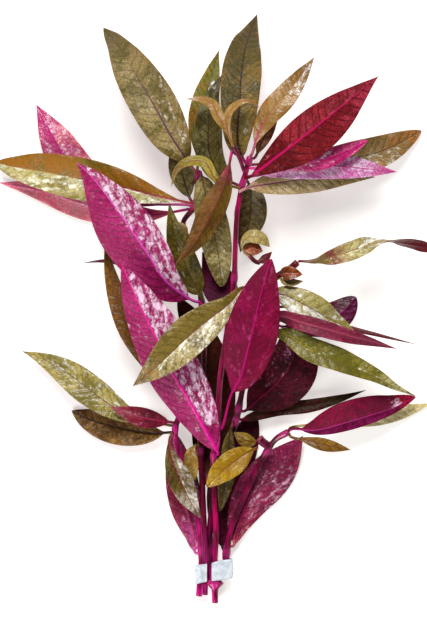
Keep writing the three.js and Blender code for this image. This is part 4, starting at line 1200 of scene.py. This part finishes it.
# The broad leaves beside the tie, undersides up: a plum one with patches of painted wet glare at the
# right, a dark one in its shade whose near black colour is partly painted shade, and a crimson one at
# the left that is violet towards the tie.
magenta_leaf(
    "low_leaf_plum", "stem_low_right",
    [[7.4, -95.4, 2.4], [9.2, -86, 2.2], [14.2, -76, 2.2], [20.6, -68.4, 2.2], [27.6, -60.6, 2.8],
     [35, -51, 3.6]],
    dict(blade=(158, 26, 84), blotch=(108, 4, 52), vein=(68, 0, 30, 0.5), net=0.4,
         midrib=(110, 0, 56, 0.5), foot=(176, 56, 80, 0.22), right=(176, 60, 96, 0.5),
         rim=(160, 60, 84, 0.3), glare=(214, 160, 186, 0.3, 0.52), span=(0.3, 0.8), rough=0.36),
    wide=18, fold=-4, belly=0.56, foot=0.6, stalk=0.02,
)
plum_leaf(
    "low_leaf_dark", "stem_low_right",
    [[3, -96.4, 1.2], [2.8, -86, 0.8], [4, -75, 0.8], [7.4, -62, 0.9], [12, -51, 1.2],
     [15.6, -41.6, 1.6]],
    dict(blade=(76, 0, 34), blotch=(36, 0, 10), vein=(22, 0, 8), rough=0.5, coat=0.0),
    wide=16.4, fold=-3, belly=0.5, foot=0.6, tip=0.6, stalk=0.02,
)
crimson_leaf(
    "low_leaf_crimson", "stem_low_left",
    [[-7.8, -98, 1.8], [-9, -90, 1.3], [-11.8, -80, 1.5], [-13.8, -68.6, 1.6], [-15.4, -58.6, 2.2],
     [-16.8, -49.4, 3]],
    dict(blade=(164, 34, 78), blotch=(128, 10, 54), vein=(84, 4, 30), net=0.3,
         right=(130, 24, 100, 0.5), foot=(190, 70, 140, 0.3), rim=(176, 56, 74, 0.5),
         midrib=(170, 50, 100), glare=(220, 176, 212, 0.2, 0.42), rough=0.4),
    wide=13.4, fold=-4, belly=0.5, foot=0.6, tip=0.75, stalk=0.02,
)


# The olive leaves beside the stems above the tie: one with a strip of silver glare painted on one half,
# the point of a tan one and a narrow olive one behind the yellow leaf.
olive_leaf(
    "low_leaf_silver", "stem_low_left",
    [[-17.6, -50, 10.8], [-18.8, -54, 11.8], [-17.6, -60.4, 12], [-14.6, -67.6, 11],
     [-11.2, -75.4, 9.6], [-6, -84.2, 8]],
    dict(blade=(112, 88, 36), blotch=(78, 60, 12), left=(196, 178, 150), vein=(54, 40, 8), net=0.3,
         midrib=(120, 24, 34), tip=(206, 194, 176, 0.74), rim=(140, 108, 56),
         glare=(226, 218, 208, 0.5, 0.05), span=(0.3, 1.0), rough=0.38),
    wide=9.8, belly=0.5,
)
yellow_leaf(
    "low_leaf_tan", "stem_left",
    [[-7.8, -54.6, 7.6], [-10, -58.4, 9], [-9.6, -63.4, 9.4], [-8.8, -68.8, 8.8]],
    dict(blade=(164, 130, 50), blotch=(128, 94, 26), vein=(100, 70, 14)),
    wide=5.6, foot=0.7, tip=0.6,
)
olive_leaf(
    "low_leaf_olive", "stem_right",
    [[6.8, -46, 10.6], [5.2, -53, 11.4], [4.8, -62.6, 11.4], [3.2, -73, 10], [1.6, -81.4, 8.5]],
    dict(SHADED, blade=(104, 82, 22), blotch=(66, 48, 8), rim=(130, 104, 30, 0.5)),
    wide=6.8, belly=0.5, foot=0.6, tip=0.8,
)


# The three leaves that point left from the low fork: a pale green one with painted glare of its wet
# skin, a dark brown speckled one that lies on the table under it, and the violet tip between them.
olive_leaf(
    "left_leaf_pale", "stem_low_left",
    [[-18.2, -46.8, 10], [-28, -44.8, 10], [-37.6, -41.4, 10.5], [-50.4, -32.8, 10.5],
     [-60, -25.6, 8.5], [-70, -20, 5.5], [-78, -17, 2.5]],
    dict(blade=(180, 162, 88), blotch=(104, 92, 20), left=(190, 170, 98), vein=(92, 84, 20), net=0.2,
         midrib=(110, 66, 36, 0.36), tip=(190, 170, 96, 0.8), rim=(156, 138, 64),
         glare=(246, 244, 226, 0.2, 0.45), span=(0.1, 0.8), rough=0.36, coat=0.4),
    wide=12.8, fold=9, belly=0.5, tip=1.15,
)
olive_leaf(
    "left_leaf_brown", "stem_low_left",
    [[-18, -49.6, 7.8], [-27, -50, 5], [-39.6, -47.6, 2.6], [-50.4, -44.6, 1.6], [-58, -41, 0.8]],
    dict(blade=(176, 130, 62), blotch=(88, 54, 10), right=(108, 70, 18, 0.75), left=(204, 162, 96),
         vein=(56, 32, 4, 0.5), net=0.5, midrib=(56, 28, 4, 0.8), rim=(150, 100, 28), coat=0.15),
    wide=14, fold=4, belly=0.5, foot=0.8, tip=0.8,
)
magenta_leaf(
    "left_leaf_violet", "stem_low_left",
    [[-17.4, -45.6, 11.4], [-28.4, -43.8, 14.4], [-36, -41.6, 14.8], [-42.4, -39.4, 14]],
    dict(blade=(144, 26, 54), blotch=(100, 8, 36), vein=(64, 0, 22), net=0.3, midrib=(156, 26, 70),
         rim=(146, 40, 60), glare=(200, 130, 160, 0.15, 0.15), coat=0.2),
    wide=8, fold=-6, foot=0.8,
)
